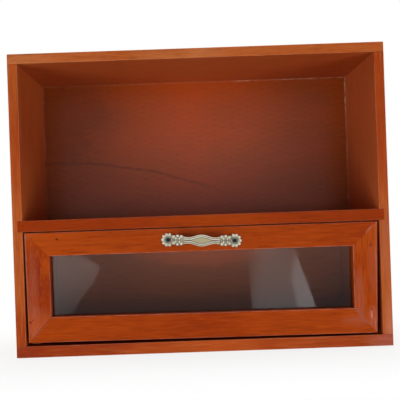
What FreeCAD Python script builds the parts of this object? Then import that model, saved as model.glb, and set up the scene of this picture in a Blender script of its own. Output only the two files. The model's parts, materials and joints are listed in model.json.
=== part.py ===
import FreeCAD, Part
import math
import os
import re

import Sketcher

# Tabletop chest with one glazed drawer: solid stained boards, a fixed shelf, a mitred drawer
# front with a window pane, and a cast bow pull. Millimetres. The origin is the middle of the
# case's footprint, +Z is up and the front faces -Y.

# Every size that can be set by itself: name, value, meaning.
SIZES = [
    ("case_width", 300, "outside width of the case"),
    ("case_depth", 125, "outside depth of the case"),
    ("case_height", 242, "outside height of the case"),
    ("top_thickness", 8, "top board"),
    ("bottom_thickness", 9, "bottom board"),
    ("side_thickness", 8, "side boards"),
    ("shelf_thickness", 9, "shelf"),
    ("bay_height", 91, "clear height of the drawer's bay"),
    ("housing_depth", 4, "how far the shelf is let into each side"),
    ("back_thickness", 3, "back sheet"),
    ("back_recess", 0.8, "how far the back sheet lies inside the rear edges"),
    ("rebate_lap", 4, "how far the back sheet laps on to each board"),
    ("sheet_clearance", 0.3, "play round the back sheet in its rebates"),
    ("outer_round", 0.8, "rounding of the case's outer edges"),
    ("inner_round", 0.5, "rounding of the edges round the openings"),
    ("gap_top", 0.8, "gap over the drawer front"),
    ("gap_left", 1, "gap left of the drawer front, at its head"),
    ("gap_right", 1.5, "gap right of the drawer front, at its head"),
    ("gap_bottom", 2.6, "gap under the drawer front, at its left end"),
    ("planed_left", 1, "planed off the foot of the left stile"),
    ("planed_right", 2.8, "planed off the foot of the right stile"),
    ("rail_drop", 1.1, "how far the bottom rail falls towards the right"),
    ("left_stile_width", 19.8, "left stile at its head"),
    ("right_stile_width", 20.4, "right stile at its head"),
    ("top_rail_width", 19, "top rail"),
    ("bottom_rail_width", 20.2, "bottom rail"),
    ("lip_thickness", 8, "wood in front of the pane"),
    ("pane_thickness", 2, "window pane"),
    ("bead_thickness", 2, "beads behind the pane"),
    ("pane_rebate", 5, "width of the pane's rebate"),
    ("pane_clearance", 0.4, "play round the pane in its rebate"),
    ("bead_clearance", 0.2, "play between a bead and the rebate's wall"),
    ("bead_setback", 1.2, "how far a bead stays hidden behind the lip"),
    ("front_round", 1.2, "rounding of the drawer front's outer edges"),
    ("window_round", 0.8, "rounding of the window's edges"),
    ("box_inset", 0.5, "how far the box stays inside the drawer front's ends"),
    ("box_side_thickness", 7, "drawer sides"),
    ("box_side_height", 80, "height of the drawer sides"),
    ("box_back_thickness", 6, "drawer back"),
    ("box_bottom_thickness", 3, "drawer bottom"),
    ("groove_depth", 3, "groove for the drawer bottom"),
    ("groove_height", 4, "wood under the groove"),
    ("groove_play", 0.1, "play round the drawer bottom in its grooves"),
    ("box_round", 1, "rounding of the drawer sides' upper edges"),
    ("slide_gap", 0.3, "running gap under the drawer sides"),
    ("stop_gap", 0.3, "gap behind the closed drawer"),
    ("brad_width", 1.2, "gun brad, wide side"),
    ("brad_thickness", 1, "gun brad, narrow side"),
    ("case_brad_length", 20, "brads of the case"),
    ("case_brad_spacing", 42, "brads of the case, along the depth"),
    ("front_brad_length", 22, "brads through the stiles"),
    ("front_brad_inset", 18, "brads through the stiles, from head and foot"),
    ("box_brad_length", 16, "brads into the drawer back"),
    ("box_brad_inset", 14, "brads into the drawer back, from its upper and lower edge"),
    ("floor_brad_length", 12, "brads through the drawer bottom"),
    ("floor_brad_spacing", 80, "brads through the drawer bottom, apart"),
    ("staple_crown", 5, "staples of the back sheet, width outside the legs"),
    ("staple_wire", 0.6, "staples of the back sheet, thickness of the wire"),
    ("staple_band", 1, "staples of the back sheet, width of the wire"),
    ("staple_leg", 11, "staples of the back sheet, length of a leg"),
    ("staple_spacing", 96, "staples along the boards that lie flat"),
    ("staple_rise", 62, "staples along the sides, apart"),
    ("screw_pitch", 53, "distance between the pull's two screws"),
    ("pull_drop", 0.8, "how far the pull sits under the rail's middle"),
    ("pull_tilt", 2.5, "lean of the pull, degrees, right end low"),
    ("foot_thickness", 1.8, "plate of each rosette"),
    ("rosette_radius", 4.3, "disc of each rosette"),
    ("lobe_radius", 1.15, "scallops round each rosette"),
    ("lobe_count", 10, "number of scallops round each rosette"),
    ("bow_rise", 13.5, "height of the bow over the rail, at its middle"),
    ("bow_width", 9.2, "width of the bow at its middle"),
    ("bow_fullness", 1.3, "1 for a plain cosine arch, more for a flatter middle"),
    ("section_count", 4, "sections of the bow to each stretch between its named widths"),
    ("waist_at", 10, "waist of the bow, from its middle"),
    ("waist_width", 5.7, "width of the waist"),
    ("leaf_at", 18.4, "leaf, from the bow's middle"),
    ("leaf_width", 8.6, "width of the leaf"),
    ("root_inset", 3.3, "root of the bow, inside the screw"),
    ("root_rise", 2.5, "height of the root"),
    ("root_width", 7.2, "width of the root"),
    ("bow_wall", 1.6, "wall of the bow along its middle"),
    ("bow_edge", 0.9, "wall of the bow at its edges"),
    ("bow_crown", 1.4, "crown of the bow across its width"),
    ("screw_shank", 1.1, "radius of the pull's screws"),
    ("screw_head", 2.1, "radius of a screw head"),
    ("screw_dome", 1.1, "height of a screw head"),
    ("screw_length", 10, "screw under its head"),
    ("screw_point", 2.5, "length of a screw's point"),
    ("screw_play", 0.15, "play round a screw in the pull"),
    ("seat_radius", 2.6, "round seat of a screw head"),
    ("seat_depth", 0.8, "depth of that seat"),
]

NAMES = {name for name, _, _ in SIZES}
TOLERANCE = 0.01

# Levels and planes of the case, as sums of those sizes.
FRONT = "(-case_depth / 2)"
BACK = "(case_depth / 2)"
BAY_LEFT = "(side_thickness - case_width / 2)"
BAY_RIGHT = "(case_width / 2 - side_thickness)"
BAY_TOP = "(bottom_thickness + bay_height)"
SIDE_HEIGHT = "(case_height - top_thickness - bottom_thickness)"
SHEET_DEPTH = "(back_thickness + back_recess)"
SHEET_FRONT = f"({BACK} - {SHEET_DEPTH})"

# Drawer front: its outer corners, the window's corners, and the box behind it.
FRONT_THICKNESS = "(lip_thickness + pane_thickness + bead_thickness)"
HEAD_LEFT = f"({BAY_LEFT} + gap_left)"
HEAD_RIGHT = f"({BAY_RIGHT} - gap_right)"
HEAD = f"({BAY_TOP} - gap_top)"
FOOT_LEFT = "(bottom_thickness + gap_bottom)"
OUTLINE = {
    "head_left": (HEAD_LEFT, HEAD),
    "head_right": (HEAD_RIGHT, HEAD),
    "foot_right": (f"({HEAD_RIGHT} - planed_right)", f"({FOOT_LEFT} - rail_drop)"),
    "foot_left": (f"({HEAD_LEFT} + planed_left)", FOOT_LEFT),
}
WINDOW_LEFT = f"({HEAD_LEFT} + left_stile_width)"
WINDOW_RIGHT = f"({HEAD_RIGHT} - right_stile_width)"
WINDOW_TOP = f"({HEAD} - top_rail_width)"
WINDOW_FOOT = f"({FOOT_LEFT} + bottom_rail_width)"
WINDOW = {
    "head_left": (WINDOW_LEFT, WINDOW_TOP),
    "head_right": (WINDOW_RIGHT, WINDOW_TOP),
    "foot_right": (WINDOW_RIGHT, f"({WINDOW_FOOT} - rail_drop)"),
    "foot_left": (WINDOW_LEFT, WINDOW_FOOT),
}
BOX_LEFT = f"(max({OUTLINE['head_left'][0]}; {OUTLINE['foot_left'][0]}) + box_inset)"
BOX_RIGHT = f"(min({OUTLINE['head_right'][0]}; {OUTLINE['foot_right'][0]}) - box_inset)"
BOX_FRONT = f"({FRONT} + {FRONT_THICKNESS})"
BOX_BACK = f"({SHEET_FRONT} - stop_gap)"
BOX_LOW = "(bottom_thickness + slide_gap)"
INSIDE_LEFT = f"({BOX_LEFT} + box_side_thickness)"
INSIDE_RIGHT = f"({BOX_RIGHT} - box_side_thickness)"
FLOOR_LOW = f"({BOX_LOW} + groove_height)"
FLOOR_TOP = f"({FLOOR_LOW} + box_bottom_thickness)"

# The pull: its middle on the top rail, and the bow's place and width at middle, waist, leaf and root.
PULL_LEVEL = f"({HEAD} - top_rail_width / 2 - pull_drop)"
ROOT_AT = "(screw_pitch / 2 - root_inset)"
SPANS = [
    (("0", "bow_width"), ("waist_at", "waist_width")),
    (("waist_at", "waist_width"), ("leaf_at", "leaf_width")),
    (("leaf_at", "leaf_width"), (ROOT_AT, "root_width")),
]

doc = FreeCAD.newDocument("chest")
sizes = doc.addObject("Spreadsheet::Sheet", "Sizes")


def fill_sheet():
    """Write each size into the sheet, with its meaning beside it."""
    for row, (name, number, meaning) in enumerate(SIZES, 1):
        sizes.set(f"A{row}", str(number))
        sizes.setAlias(f"A{row}", name)
        sizes.set(f"B{row}", "'" + meaning)
    doc.recompute()


def bound(text):
    """The sum with each size's name pointing at its cell."""
    def cell(match):
        word = match.group()
        return "Sizes." + word if word in NAMES else word
    return re.sub(r"[a-z_]+", cell, text)


def value(text):
    """What a sum of sizes comes to."""
    return float(sizes.evalExpression(bound(text)))


def bind(thing, prop, text):
    """Tie a property to a sum of sizes."""
    thing.setExpression(prop, bound(text))


def new_body(label, x="0", y="0", z="0"):
    """An empty body under the sub-part's name, with its place tied to the sizes."""
    body = doc.addObject("PartDesign::Body", label)
    body.Label = label
    for axis, place in (("x", x), ("y", y), ("z", z)):
        if place != "0":
            bind(body, f"Placement.Base.{axis}", place)
    return body


def new_sketch(body, name, plane, lift="0"):
    """A sketch on one of the body's origin planes, lifted along that plane's normal."""
    sketch = body.newObject("Sketcher::SketchObject", name)
    support = [feature for feature in body.Origin.OriginFeatures if feature.Role == plane]
    sketch.AttachmentSupport = [(support[0], "")]
    sketch.MapMode = "FlatFace"
    bind(sketch, "AttachmentOffset.Base.z", lift)
    return sketch


def pin_point(sketch, geometry, end, x, y):
    """Fix one end of a sketch line at a place given by two sums."""
    for kind, text in (("DistanceX", x), ("DistanceY", y)):
        rule = Sketcher.Constraint(kind, -1, 1, geometry, end, value(text))
        number = sketch.addConstraint(rule)
        bind(sketch, f"Constraints[{number}]", text)


def draw_polygon(sketch, corners):
    """Closed outline through the corners, each fixed by its two sums."""
    points = [FreeCAD.Vector(value(x), value(y), 0) for x, y in corners]
    following = points[1:] + points[:1]
    lines = [sketch.addGeometry(Part.LineSegment(a, b)) for a, b in zip(points, following)]
    for line, after in zip(lines, lines[1:] + lines[:1]):
        sketch.addConstraint(Sketcher.Constraint("Coincident", line, 2, after, 1))
    for line, (x, y) in zip(lines, corners):
        pin_point(sketch, line, 1, x, y)


def draw_rectangle(sketch, left, right, low, high):
    """Closed upright rectangle."""
    draw_polygon(sketch, [(left, low), (right, low), (right, high), (left, high)])


def pad(body, sketch, length):
    """Raise a sketch along its plane's normal."""
    feature = body.newObject("PartDesign::Pad", sketch.Name + "Pad")
    feature.Profile = sketch
    bind(feature, "Length", length)
    sketch.Visibility = False
    doc.recompute()
    return feature


def pocket(body, sketch, depth, reverse=False):
    """Cut a sketch into the body and make sure that wood is gone."""
    before = body.Tip.Shape.Volume
    feature = body.newObject("PartDesign::Pocket", sketch.Name + "Pocket")
    feature.Profile = sketch
    feature.Reversed = reverse
    bind(feature, "Length", depth)
    doc.recompute()
    if feature.Shape.Volume > before - TOLERANCE:
        raise RuntimeError(f"{body.Label}: {sketch.Name} cuts nothing")
    return feature


def board(label, left, right, front, back, level, height):
    """A rectangular board, standing on its level."""
    body = new_body(label, z=level)
    sketch = new_sketch(body, label + "_outline", "XY_Plane")
    draw_rectangle(sketch, left, right, front, back)
    pad(body, sketch, height)
    return body


def cut_block(body, name, left, right, front, back, low, height):
    """Cut a rectangular rebate, groove or housing out of a board."""
    sketch = new_sketch(body, f"{body.Name}_{name}", "XY_Plane", low)
    draw_rectangle(sketch, left, right, front, back)
    pocket(body, sketch, height, reverse=True)


def edges_at(shape, **places):
    """Names of the edges that lie wholly at the given coordinates."""
    wanted = {axis: value(text) for axis, text in places.items()}
    names = []
    for number, edge in enumerate(shape.Edges, 1):
        ends = [vertex.Point for vertex in edge.Vertexes]
        if all(abs(getattr(end, axis) - at) < TOLERANCE for end in ends for axis, at in wanted.items()):
            names.append(f"Edge{number}")
    return names


def edge_between(shape, start, end, y):
    """Name of the edge that joins two corners of an outline at the depth y."""
    ends = [FreeCAD.Vector(value(x), value(y), value(z)) for x, z in (start, end)]
    for number, edge in enumerate(shape.Edges, 1):
        points = [vertex.Point for vertex in edge.Vertexes]
        if len(points) == 2 and all(min(p.distanceToPoint(q) for q in points) < TOLERANCE for p in ends):
            return f"Edge{number}"
    raise RuntimeError("no such edge")


def round_edges(body, edges, radius):
    """Round the named edges of the body."""
    base = body.Tip
    feature = body.newObject("PartDesign::Fillet", f"{body.Name}_round{len(body.Group)}")
    feature.Base = (base, sorted(set(edges)))
    bind(feature, "Radius", radius)
    doc.recompute()
    return feature


def brad(name, axis, start, length, places):
    """A gun brad: a thin bar along one axis, centred on the other two."""
    bar = doc.addObject("Part::Box", name)
    sides = dict(zip("xyz", ("Length", "Width", "Height")))
    bind(bar, sides[axis], length)
    bind(bar, f"Placement.Base.{axis}", start)
    for across, (other, place) in zip(("brad_width", "brad_thickness"), places.items()):
        bind(bar, sides[other], across)
        bind(bar, f"Placement.Base.{other}", f"{place} - {across} / 2")
    return bar


def staple(name, x, z, upright):
    """A wire staple: a crown on the back sheet and two legs that run forward through it."""
    wide, narrow = ("z", "x") if upright else ("x", "z")
    centre = {"x": x, "z": z}
    sides = {"x": "Length", "z": "Height"}
    crown_plane = f"({BACK} - back_recess)"
    bars = []
    for piece in ("crown", "leg_a", "leg_b"):
        bar = doc.addObject("Part::Box", f"{name}_{piece}")
        bind(bar, sides[narrow], "staple_band")
        bind(bar, f"Placement.Base.{narrow}", f"{centre[narrow]} - staple_band / 2")
        bars.append(bar)
    crown, leg_a, leg_b = bars
    bind(crown, sides[wide], "staple_crown")
    bind(crown, "Width", "staple_wire")
    bind(crown, f"Placement.Base.{wide}", f"{centre[wide]} - staple_crown / 2")
    bind(crown, "Placement.Base.y", crown_plane)
    for leg, place in ((leg_a, "- staple_crown / 2"), (leg_b, "+ staple_crown / 2 - staple_wire")):
        bind(leg, sides[wide], "staple_wire")
        bind(leg, "Width", "staple_leg + staple_wire")
        bind(leg, f"Placement.Base.{wide}", f"{centre[wide]} {place}")
        bind(leg, "Placement.Base.y", f"{crown_plane} - staple_leg")
    whole = doc.addObject("Part::MultiFuse", name)
    whole.Shapes = bars
    return whole


def group(label, pieces):
    """Separate equal fasteners that share one node."""
    compound = doc.addObject("Part::Compound", label)
    compound.Label = label
    compound.Links = pieces
    doc.recompute()
    return compound


def drilled(label, wood, *fasteners):
    """The piece of wood with a hole for each fastener that enters it."""
    wood.Label = label + "_blank"
    tool = fasteners[0]
    if len(fasteners) > 1:
        tool = doc.addObject("Part::Compound", label + "_fasteners")
        tool.Links = list(fasteners)
    cut = doc.addObject("Part::Cut", label + "_drilled")
    cut.Base = wood
    cut.Tool = tool
    cut.Label = label
    doc.recompute()
    return cut


def lay_board(label, level, height, sheet_level):
    """Top or bottom board: full width, with a stopped rebate for the back sheet."""
    body = board(label, "-case_width / 2", "case_width / 2", FRONT, BACK, level, height)
    cut_block(body, "rebate", f"{BAY_LEFT} - rebate_lap", f"{BAY_RIGHT} + rebate_lap",
              f"{BACK} - {SHEET_DEPTH}", BACK, sheet_level, "rebate_lap")
    return body


def upright_corners(body):
    """Names of the four upright edges at the corners of a full-width board."""
    names = []
    for x in ("case_width / 2", "-case_width / 2"):
        for y in (FRONT, BACK):
            names += edges_at(body.Tip.Shape, x=x, y=y)
    return names


def make_top():
    """Top board, its upper edges and corners rounded."""
    body = lay_board("top_panel", "case_height - top_thickness", "top_thickness", "0")
    upper = edges_at(body.Tip.Shape, z="top_thickness")
    round_edges(body, upright_corners(body) + upper, "outer_round")
    round_edges(body, edges_at(body.Tip.Shape, y=FRONT, z="0"), "inner_round")
    return body


def make_bottom():
    """Bottom board, its corners rounded; the underside stays flat to its edges."""
    body = lay_board("bottom_panel", "0", "bottom_thickness", "bottom_thickness - rebate_lap")
    round_edges(body, upright_corners(body), "outer_round")
    round_edges(body, edges_at(body.Tip.Shape, y=FRONT, z="bottom_thickness"), "inner_round")
    return body


def make_side(label, side):
    """Side board between top and bottom: rebate behind, housing for the shelf."""
    outer = f"({side} * case_width / 2)"
    inner = BAY_LEFT if side < 0 else BAY_RIGHT
    left, right = (outer, inner) if side < 0 else (inner, outer)
    body = board(label, left, right, FRONT, BACK, "bottom_thickness", SIDE_HEIGHT)
    reach = sorted((inner, f"({inner} + {side} * rebate_lap)"), key=value)
    cut_block(body, "rebate", reach[0], reach[1], f"{BACK} - {SHEET_DEPTH}", BACK, "0", SIDE_HEIGHT)
    reach = sorted((inner, f"({inner} + {side} * housing_depth)"), key=value)
    cut_block(body, "housing", reach[0], reach[1], FRONT, BACK, "bay_height", "shelf_thickness")
    round_edges(body, edges_at(body.Tip.Shape, x=outer, y=FRONT) + edges_at(body.Tip.Shape, x=outer, y=BACK),
                "outer_round")
    round_edges(body, edges_at(body.Tip.Shape, x=inner, y=FRONT), "inner_round")
    return body


def make_shelf():
    """Shelf in the housings of both sides, up to the back sheet."""
    body = board("shelf", f"{BAY_LEFT} - housing_depth", f"{BAY_RIGHT} + housing_depth",
                 FRONT, SHEET_FRONT, BAY_TOP, "shelf_thickness")
    shape = body.Tip.Shape
    front = edges_at(shape, y=FRONT, z="0") + edges_at(shape, y=FRONT, z="shelf_thickness")
    round_edges(body, front, "inner_round")
    return body


def make_back():
    """Back sheet in the rebates of the four boards."""
    lap = "rebate_lap - sheet_clearance"
    level = f"bottom_thickness - ({lap})"
    return board("back_panel", f"{BAY_LEFT} - ({lap})", f"{BAY_RIGHT} + {lap}",
                 SHEET_FRONT, f"{BACK} - back_recess", level, f"{SIDE_HEIGHT} + 2 * ({lap})")


def make_case_brads():
    """Brads through top and bottom into the sides, and through the sides into the shelf."""
    brads = []
    for side, edge in ((-1, "l"), (1, "r")):
        x = f"({side} * (case_width - side_thickness) / 2)"
        shelf_start = "-case_width / 2" if side < 0 else "case_width / 2 - case_brad_length"
        for step in (-1, 0, 1):
            y = f"({step} * case_brad_spacing)"
            name = f"case_brad_{edge}{step + 1}"
            brads.append(brad(name + "_top", "z", "case_height - case_brad_length", "case_brad_length",
                              {"x": x, "y": y}))
            brads.append(brad(name + "_foot", "z", "0", "case_brad_length", {"x": x, "y": y}))
            brads.append(brad(name + "_shelf", "x", shelf_start, "case_brad_length",
                              {"y": y, "z": f"({BAY_TOP} + shelf_thickness / 2)"}))
    return group("case_brads", brads)


def make_staples():
    """Staples of the back sheet: three rows along the flat boards and one column on each side."""
    pieces = []
    levels = {
        "foot": "(bottom_thickness - rebate_lap / 2)",
        "shelf": f"({BAY_TOP} + shelf_thickness / 2)",
        "head": "(case_height - top_thickness + rebate_lap / 2)",
    }
    for row, level in levels.items():
        for step in (-1, 0, 1):
            pieces.append(staple(f"staple_{row}{step + 1}", f"({step} * staple_spacing)", level, False))
    for side in (-1, 1):
        x = f"({side} * ({BAY_RIGHT} + rebate_lap / 2))"
        for step in (-1, 1):
            z = f"(case_height / 2 + {step} * staple_rise)"
            pieces.append(staple(f"staple_side{side + 1}{step + 1}", x, z, True))
    return group("back_staples", pieces)


def corner_at(corner, share):
    """Point on the mitre line of a corner: share 0 is the window, share 1 the outline."""
    pairs = zip(WINDOW[corner], OUTLINE[corner])
    return tuple(f"({inner} + ({outer} - {inner}) * {share})" for inner, outer in pairs)


def mitred(body, name, first, second, outer_share, inner_share, lift, thickness):
    """One layer of a frame member between two corners, cut along both mitre lines."""
    sketch = new_sketch(body, f"{body.Name}_{name}", "XZ_Plane", lift)
    corners = [corner_at(first, outer_share), corner_at(second, outer_share),
               corner_at(second, inner_share), corner_at(first, inner_share)]
    draw_polygon(sketch, corners)
    return pad(body, sketch, thickness)


def make_member(label, first, second):
    """Rail or stile of the drawer front: a lip round the window and a rebate behind it."""
    body = new_body(label, y=BOX_FRONT)
    rear = "(pane_thickness + bead_thickness)"
    mitred(body, "rear", first, second, "1", "(pane_rebate / top_rail_width)", "0", rear)
    mitred(body, "lip", first, second, "1", "0", rear, "lip_thickness")
    face = f"-{FRONT_THICKNESS}"
    outer = edge_between(body.Tip.Shape, corner_at(first, "1"), corner_at(second, "1"), face)
    round_edges(body, [outer], "front_round")
    inner = edge_between(body.Tip.Shape, corner_at(first, "0"), corner_at(second, "0"), face)
    round_edges(body, [inner], "window_round")
    return body


def make_bead(label, first, second):
    """Mitred strip that holds the pane from behind."""
    body = new_body(label, y=BOX_FRONT)
    outer = "((pane_rebate - bead_clearance) / top_rail_width)"
    mitred(body, "strip", first, second, outer, "(bead_setback / top_rail_width)", "0", "bead_thickness")
    return body


def make_pane():
    """Flat pane in the rebate, square though the frame round it is not."""
    share = "(pane_rebate / top_rail_width)"
    corners = {name: corner_at(name, share) for name in WINDOW}
    body = new_body("window_pane", y=f"{BOX_FRONT} - bead_thickness")
    sketch = new_sketch(body, "window_pane_outline", "XZ_Plane")
    draw_rectangle(sketch,
                   f"max({corners['head_left'][0]}; {corners['foot_left'][0]}) + pane_clearance",
                   f"min({corners['head_right'][0]}; {corners['foot_right'][0]}) - pane_clearance",
                   f"max({corners['foot_left'][1]}; {corners['foot_right'][1]}) + pane_clearance",
                   f"{corners['head_left'][1]} - pane_clearance")
    pad(body, sketch, "pane_thickness")
    return body


def make_box_side(label, left, right, groove_left, groove_right):
    """Drawer side with the groove for the bottom along its inner face."""
    body = board(label, left, right, BOX_FRONT, BOX_BACK, BOX_LOW, "box_side_height")
    cut_block(body, "groove", groove_left, groove_right, BOX_FRONT, BOX_BACK,
              "groove_height", "box_bottom_thickness + groove_play")
    shape = body.Tip.Shape
    upper = edges_at(shape, x=left, z="box_side_height") + edges_at(shape, x=right, z="box_side_height")
    round_edges(body, upper, "box_round")
    return body


def make_box_back():
    """Drawer back between the sides, standing on the bottom."""
    return board("drawer_back", INSIDE_LEFT, INSIDE_RIGHT, f"{BOX_BACK} - box_back_thickness", BOX_BACK,
                 FLOOR_TOP, "box_side_height - groove_height - box_bottom_thickness")


def make_box_bottom():
    """Drawer bottom in the side grooves, with a tongue in the bottom rail."""
    body = new_body("drawer_bottom", z=FLOOR_LOW)
    sketch = new_sketch(body, "drawer_bottom_outline", "XY_Plane")
    left = f"({INSIDE_LEFT} - groove_depth + groove_play)"
    right = f"({INSIDE_RIGHT} + groove_depth - groove_play)"
    tongue = f"({BOX_FRONT} - groove_depth + groove_play)"
    draw_polygon(sketch, [
        (left, BOX_FRONT), (INSIDE_LEFT, BOX_FRONT), (INSIDE_LEFT, tongue), (INSIDE_RIGHT, tongue),
        (INSIDE_RIGHT, BOX_FRONT), (right, BOX_FRONT), (right, BOX_BACK), (left, BOX_BACK),
    ])
    pad(body, sketch, "box_bottom_thickness")
    return body


def make_front_brads():
    """Brads through the stiles into the ends of the drawer sides."""
    brads = []
    half = "box_side_thickness / 2"
    columns = {"l": f"({BOX_LEFT} + {half})", "r": f"({BOX_RIGHT} - {half})"}
    levels = {"head": f"({HEAD} - front_brad_inset)", "foot": f"({FOOT_LEFT} + front_brad_inset)"}
    for edge, x in columns.items():
        for end, z in levels.items():
            name = f"front_brad_{edge}_{end}"
            brads.append(brad(name, "y", FRONT, "front_brad_length", {"x": x, "z": z}))
    return group("front_brads", brads)


def make_box_brads():
    """Brads through the drawer's sides and bottom into its back."""
    y = f"({BOX_BACK} - box_back_thickness / 2)"
    levels = (f"({FLOOR_TOP} + box_brad_inset)", f"({BOX_LOW} + box_side_height - box_brad_inset)")
    brads = []
    for edge, start in (("l", BOX_LEFT), ("r", f"({BOX_RIGHT} - box_brad_length)")):
        for number, z in enumerate(levels):
            brads.append(brad(f"box_brad_{edge}{number}", "x", start, "box_brad_length", {"y": y, "z": z}))
    for step in (-1, 0, 1):
        x = f"(({BOX_LEFT} + {BOX_RIGHT}) / 2 + {step} * floor_brad_spacing)"
        brads.append(brad(f"floor_brad{step + 1}", "z", FLOOR_LOW, "floor_brad_length", {"x": x, "y": y}))
    return group("box_brads", brads)


def draw_crescent(sketch, rise, width):
    """Hollow-backed section of the bow: crowned outside, lighter at its two edges."""
    half = f"({width} / 2)"
    outer_side = f"(bow_crown - {rise})"
    inner_side = f"({outer_side} + bow_edge)"
    inner_sag = f"({inner_side} - bow_wall + {rise})"
    places = [(outer_side, f"-{half}"), (outer_side, half), (inner_side, half), (inner_side, f"-{half}")]
    low_out, high_out, high_in, low_in = [FreeCAD.Vector(value(x), value(y), 0) for x, y in places]
    outer_top = FreeCAD.Vector(-value(rise), 0, 0)
    inner_top = FreeCAD.Vector(value(f"bow_wall - {rise}"), 0, 0)
    curves = [
        sketch.addGeometry(Part.Arc(low_out, outer_top, high_out)),
        sketch.addGeometry(Part.LineSegment(high_out, high_in)),
        sketch.addGeometry(Part.Arc(low_in, inner_top, high_in)),
        sketch.addGeometry(Part.LineSegment(low_in, low_out)),
    ]
    for line, ends in ((1, places[1:3]), (3, (places[3], places[0]))):
        for end, (x, y) in enumerate(ends, 1):
            pin_point(sketch, curves[line], end, x, y)
    for arc, sag in ((0, "bow_crown"), (2, inner_sag)):
        flat = f"({half} * {half} + {sag} * {sag}) / (2 * {sag})"
        for line in (1, 3):
            join_ends(sketch, curves[arc], curves[line])
        number = sketch.addConstraint(Sketcher.Constraint("Radius", curves[arc], value(flat)))
        bind(sketch, f"Constraints[{number}]", flat)


def join_ends(sketch, arc, line):
    """Tie whichever end of a line meets an end of the arc."""
    for arc_end in (1, 2):
        for line_end in (1, 2):
            gap = sketch.getPoint(arc, arc_end).distanceToPoint(sketch.getPoint(line, line_end))
            if gap < TOLERANCE:
                sketch.addConstraint(Sketcher.Constraint("Coincident", arc, arc_end, line, line_end))


def bow_stations():
    """Places from the middle of the bow to its root, with the width eased between the named ones."""
    stations = []
    steps = round(value("section_count"))
    for (near, near_width), (far, far_width) in SPANS:
        for step in range(steps):
            share = step / steps
            ease = round((1 - math.cos(math.pi * share)) / 2, 6)
            place = f"({near} + ({far} - {near}) * {share})"
            stations.append((place, f"({near_width} + ({far_width} - {near_width}) * {ease})"))
    return stations + [(ROOT_AT, "root_width")]


def make_bow(body):
    """Arched bar of the pull, lofted through its sections from root to root."""
    half = bow_stations()
    places = [(-1, station) for station in reversed(half)] + [(1, station) for station in half[1:]]
    sketches = []
    for number, (side, (place, width)) in enumerate(places):
        sketch = new_sketch(body, f"bow_section{number}", "YZ_Plane", f"{side} * {place}")
        arch = f"cos(90 * ({place} / {ROOT_AT}) ^ bow_fullness * 1 deg)"
        draw_crescent(sketch, f"(root_rise + (bow_rise - root_rise) * {arch})", width)
        sketches.append(sketch)
    doc.recompute()
    loft = body.newObject("PartDesign::AdditiveLoft", "bow")
    loft.Profile = sketches[0]
    loft.Sections = sketches[1:]
    loft.Ruled = True
    doc.recompute()


def rosette_sketch(body, name, side, radius, lift="0", place=("0", "0")):
    """A circle on a rosette's own axis, or off it by the given place."""
    sketch = new_sketch(body, name, "XZ_Plane", lift)
    bind(sketch, "AttachmentOffset.Base.x", f"{side} * screw_pitch / 2")
    centre = FreeCAD.Vector(value(place[0]), value(place[1]), 0)
    geometry = sketch.addGeometry(Part.Circle(centre, FreeCAD.Vector(0, 0, 1), value(radius)))
    pin_point(sketch, geometry, 3, *place)
    number = sketch.addConstraint(Sketcher.Constraint("Radius", geometry, value(radius)))
    bind(sketch, f"Constraints[{number}]", radius)
    return sketch


def make_rosette(body, side):
    """Scalloped plate at one end of the pull, with no scallop where the bow springs from it."""
    end = "left" if side < 0 else "right"
    pad(body, rosette_sketch(body, f"rosette_{end}", side, "rosette_radius"), "foot_thickness")
    step = "(360 / lobe_count) * 1 deg"
    first = (f"{-side} * rosette_radius * cos({step})", f"{-side} * rosette_radius * sin({step})")
    lobe = rosette_sketch(body, f"lobe_{end}", side, "lobe_radius", place=first)
    lobe_pad = pad(body, lobe, "foot_thickness")
    ring = body.newObject("PartDesign::PolarPattern", f"lobes_{end}")
    ring.Originals = [lobe_pad]
    ring.Axis = (lobe, ["N_Axis"])
    bind(ring, "Angle", "360 * (lobe_count - 2) / lobe_count")
    bind(ring, "Occurrences", "lobe_count - 1")
    body.Tip = ring
    doc.recompute()


def cut_seat(body, side):
    """Round seat and clearance hole for the screw of one rosette."""
    end = "left" if side < 0 else "right"
    seat = rosette_sketch(body, f"seat_{end}", side, "seat_radius", lift="foot_thickness")
    pocket(body, seat, "seat_depth")
    hole = rosette_sketch(body, f"screw_hole_{end}", side, "screw_shank + screw_play", lift="foot_thickness")
    pocket(body, hole, "foot_thickness")


def place_pull(body):
    """Set a piece of the pull on the top rail, leaning with it."""
    bind(body, "Placement.Base.y", FRONT)
    bind(body, "Placement.Base.z", PULL_LEVEL)
    body.Placement = FreeCAD.Placement(body.Placement.Base, FreeCAD.Rotation(FreeCAD.Vector(0, 1, 0), 1))
    bind(body, "Placement.Rotation.Angle", "pull_tilt * 1 deg")


def make_pull():
    """Cast bow pull: rosette, leaf, waist and swell, and the same back to the other rosette."""
    body = new_body("handle")
    for side in (-1, 1):
        make_rosette(body, side)
    make_bow(body)
    for side in (-1, 1):
        cut_seat(body, side)
    place_pull(body)
    doc.recompute()
    return body


def make_screw(name, side):
    """Round-head screw turned about its own axis, its head in the rosette's seat."""
    body = new_body(name)
    sketch = new_sketch(body, name + "_profile", "XY_Plane")
    bind(sketch, "AttachmentOffset.Base.x", f"{side} * screw_pitch / 2")
    under = "(seat_depth - foot_thickness)"
    half = "(screw_head * 2 / 3)"
    draw_polygon(sketch, [
        ("0", f"{under} - screw_dome"),
        (half, f"{under} - screw_dome"),
        ("screw_head", f"{under} - screw_dome / 3"),
        ("screw_head", under),
        ("screw_shank", under),
        ("screw_shank", f"{under} + screw_length - screw_point"),
        ("0", f"{under} + screw_length"),
    ])
    turned = body.newObject("PartDesign::Revolution", name + "_turned")
    turned.Profile = sketch
    turned.ReferenceAxis = (sketch, ["V_Axis"])
    turned.Angle = 360
    place_pull(body)
    doc.recompute()
    return body


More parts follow.
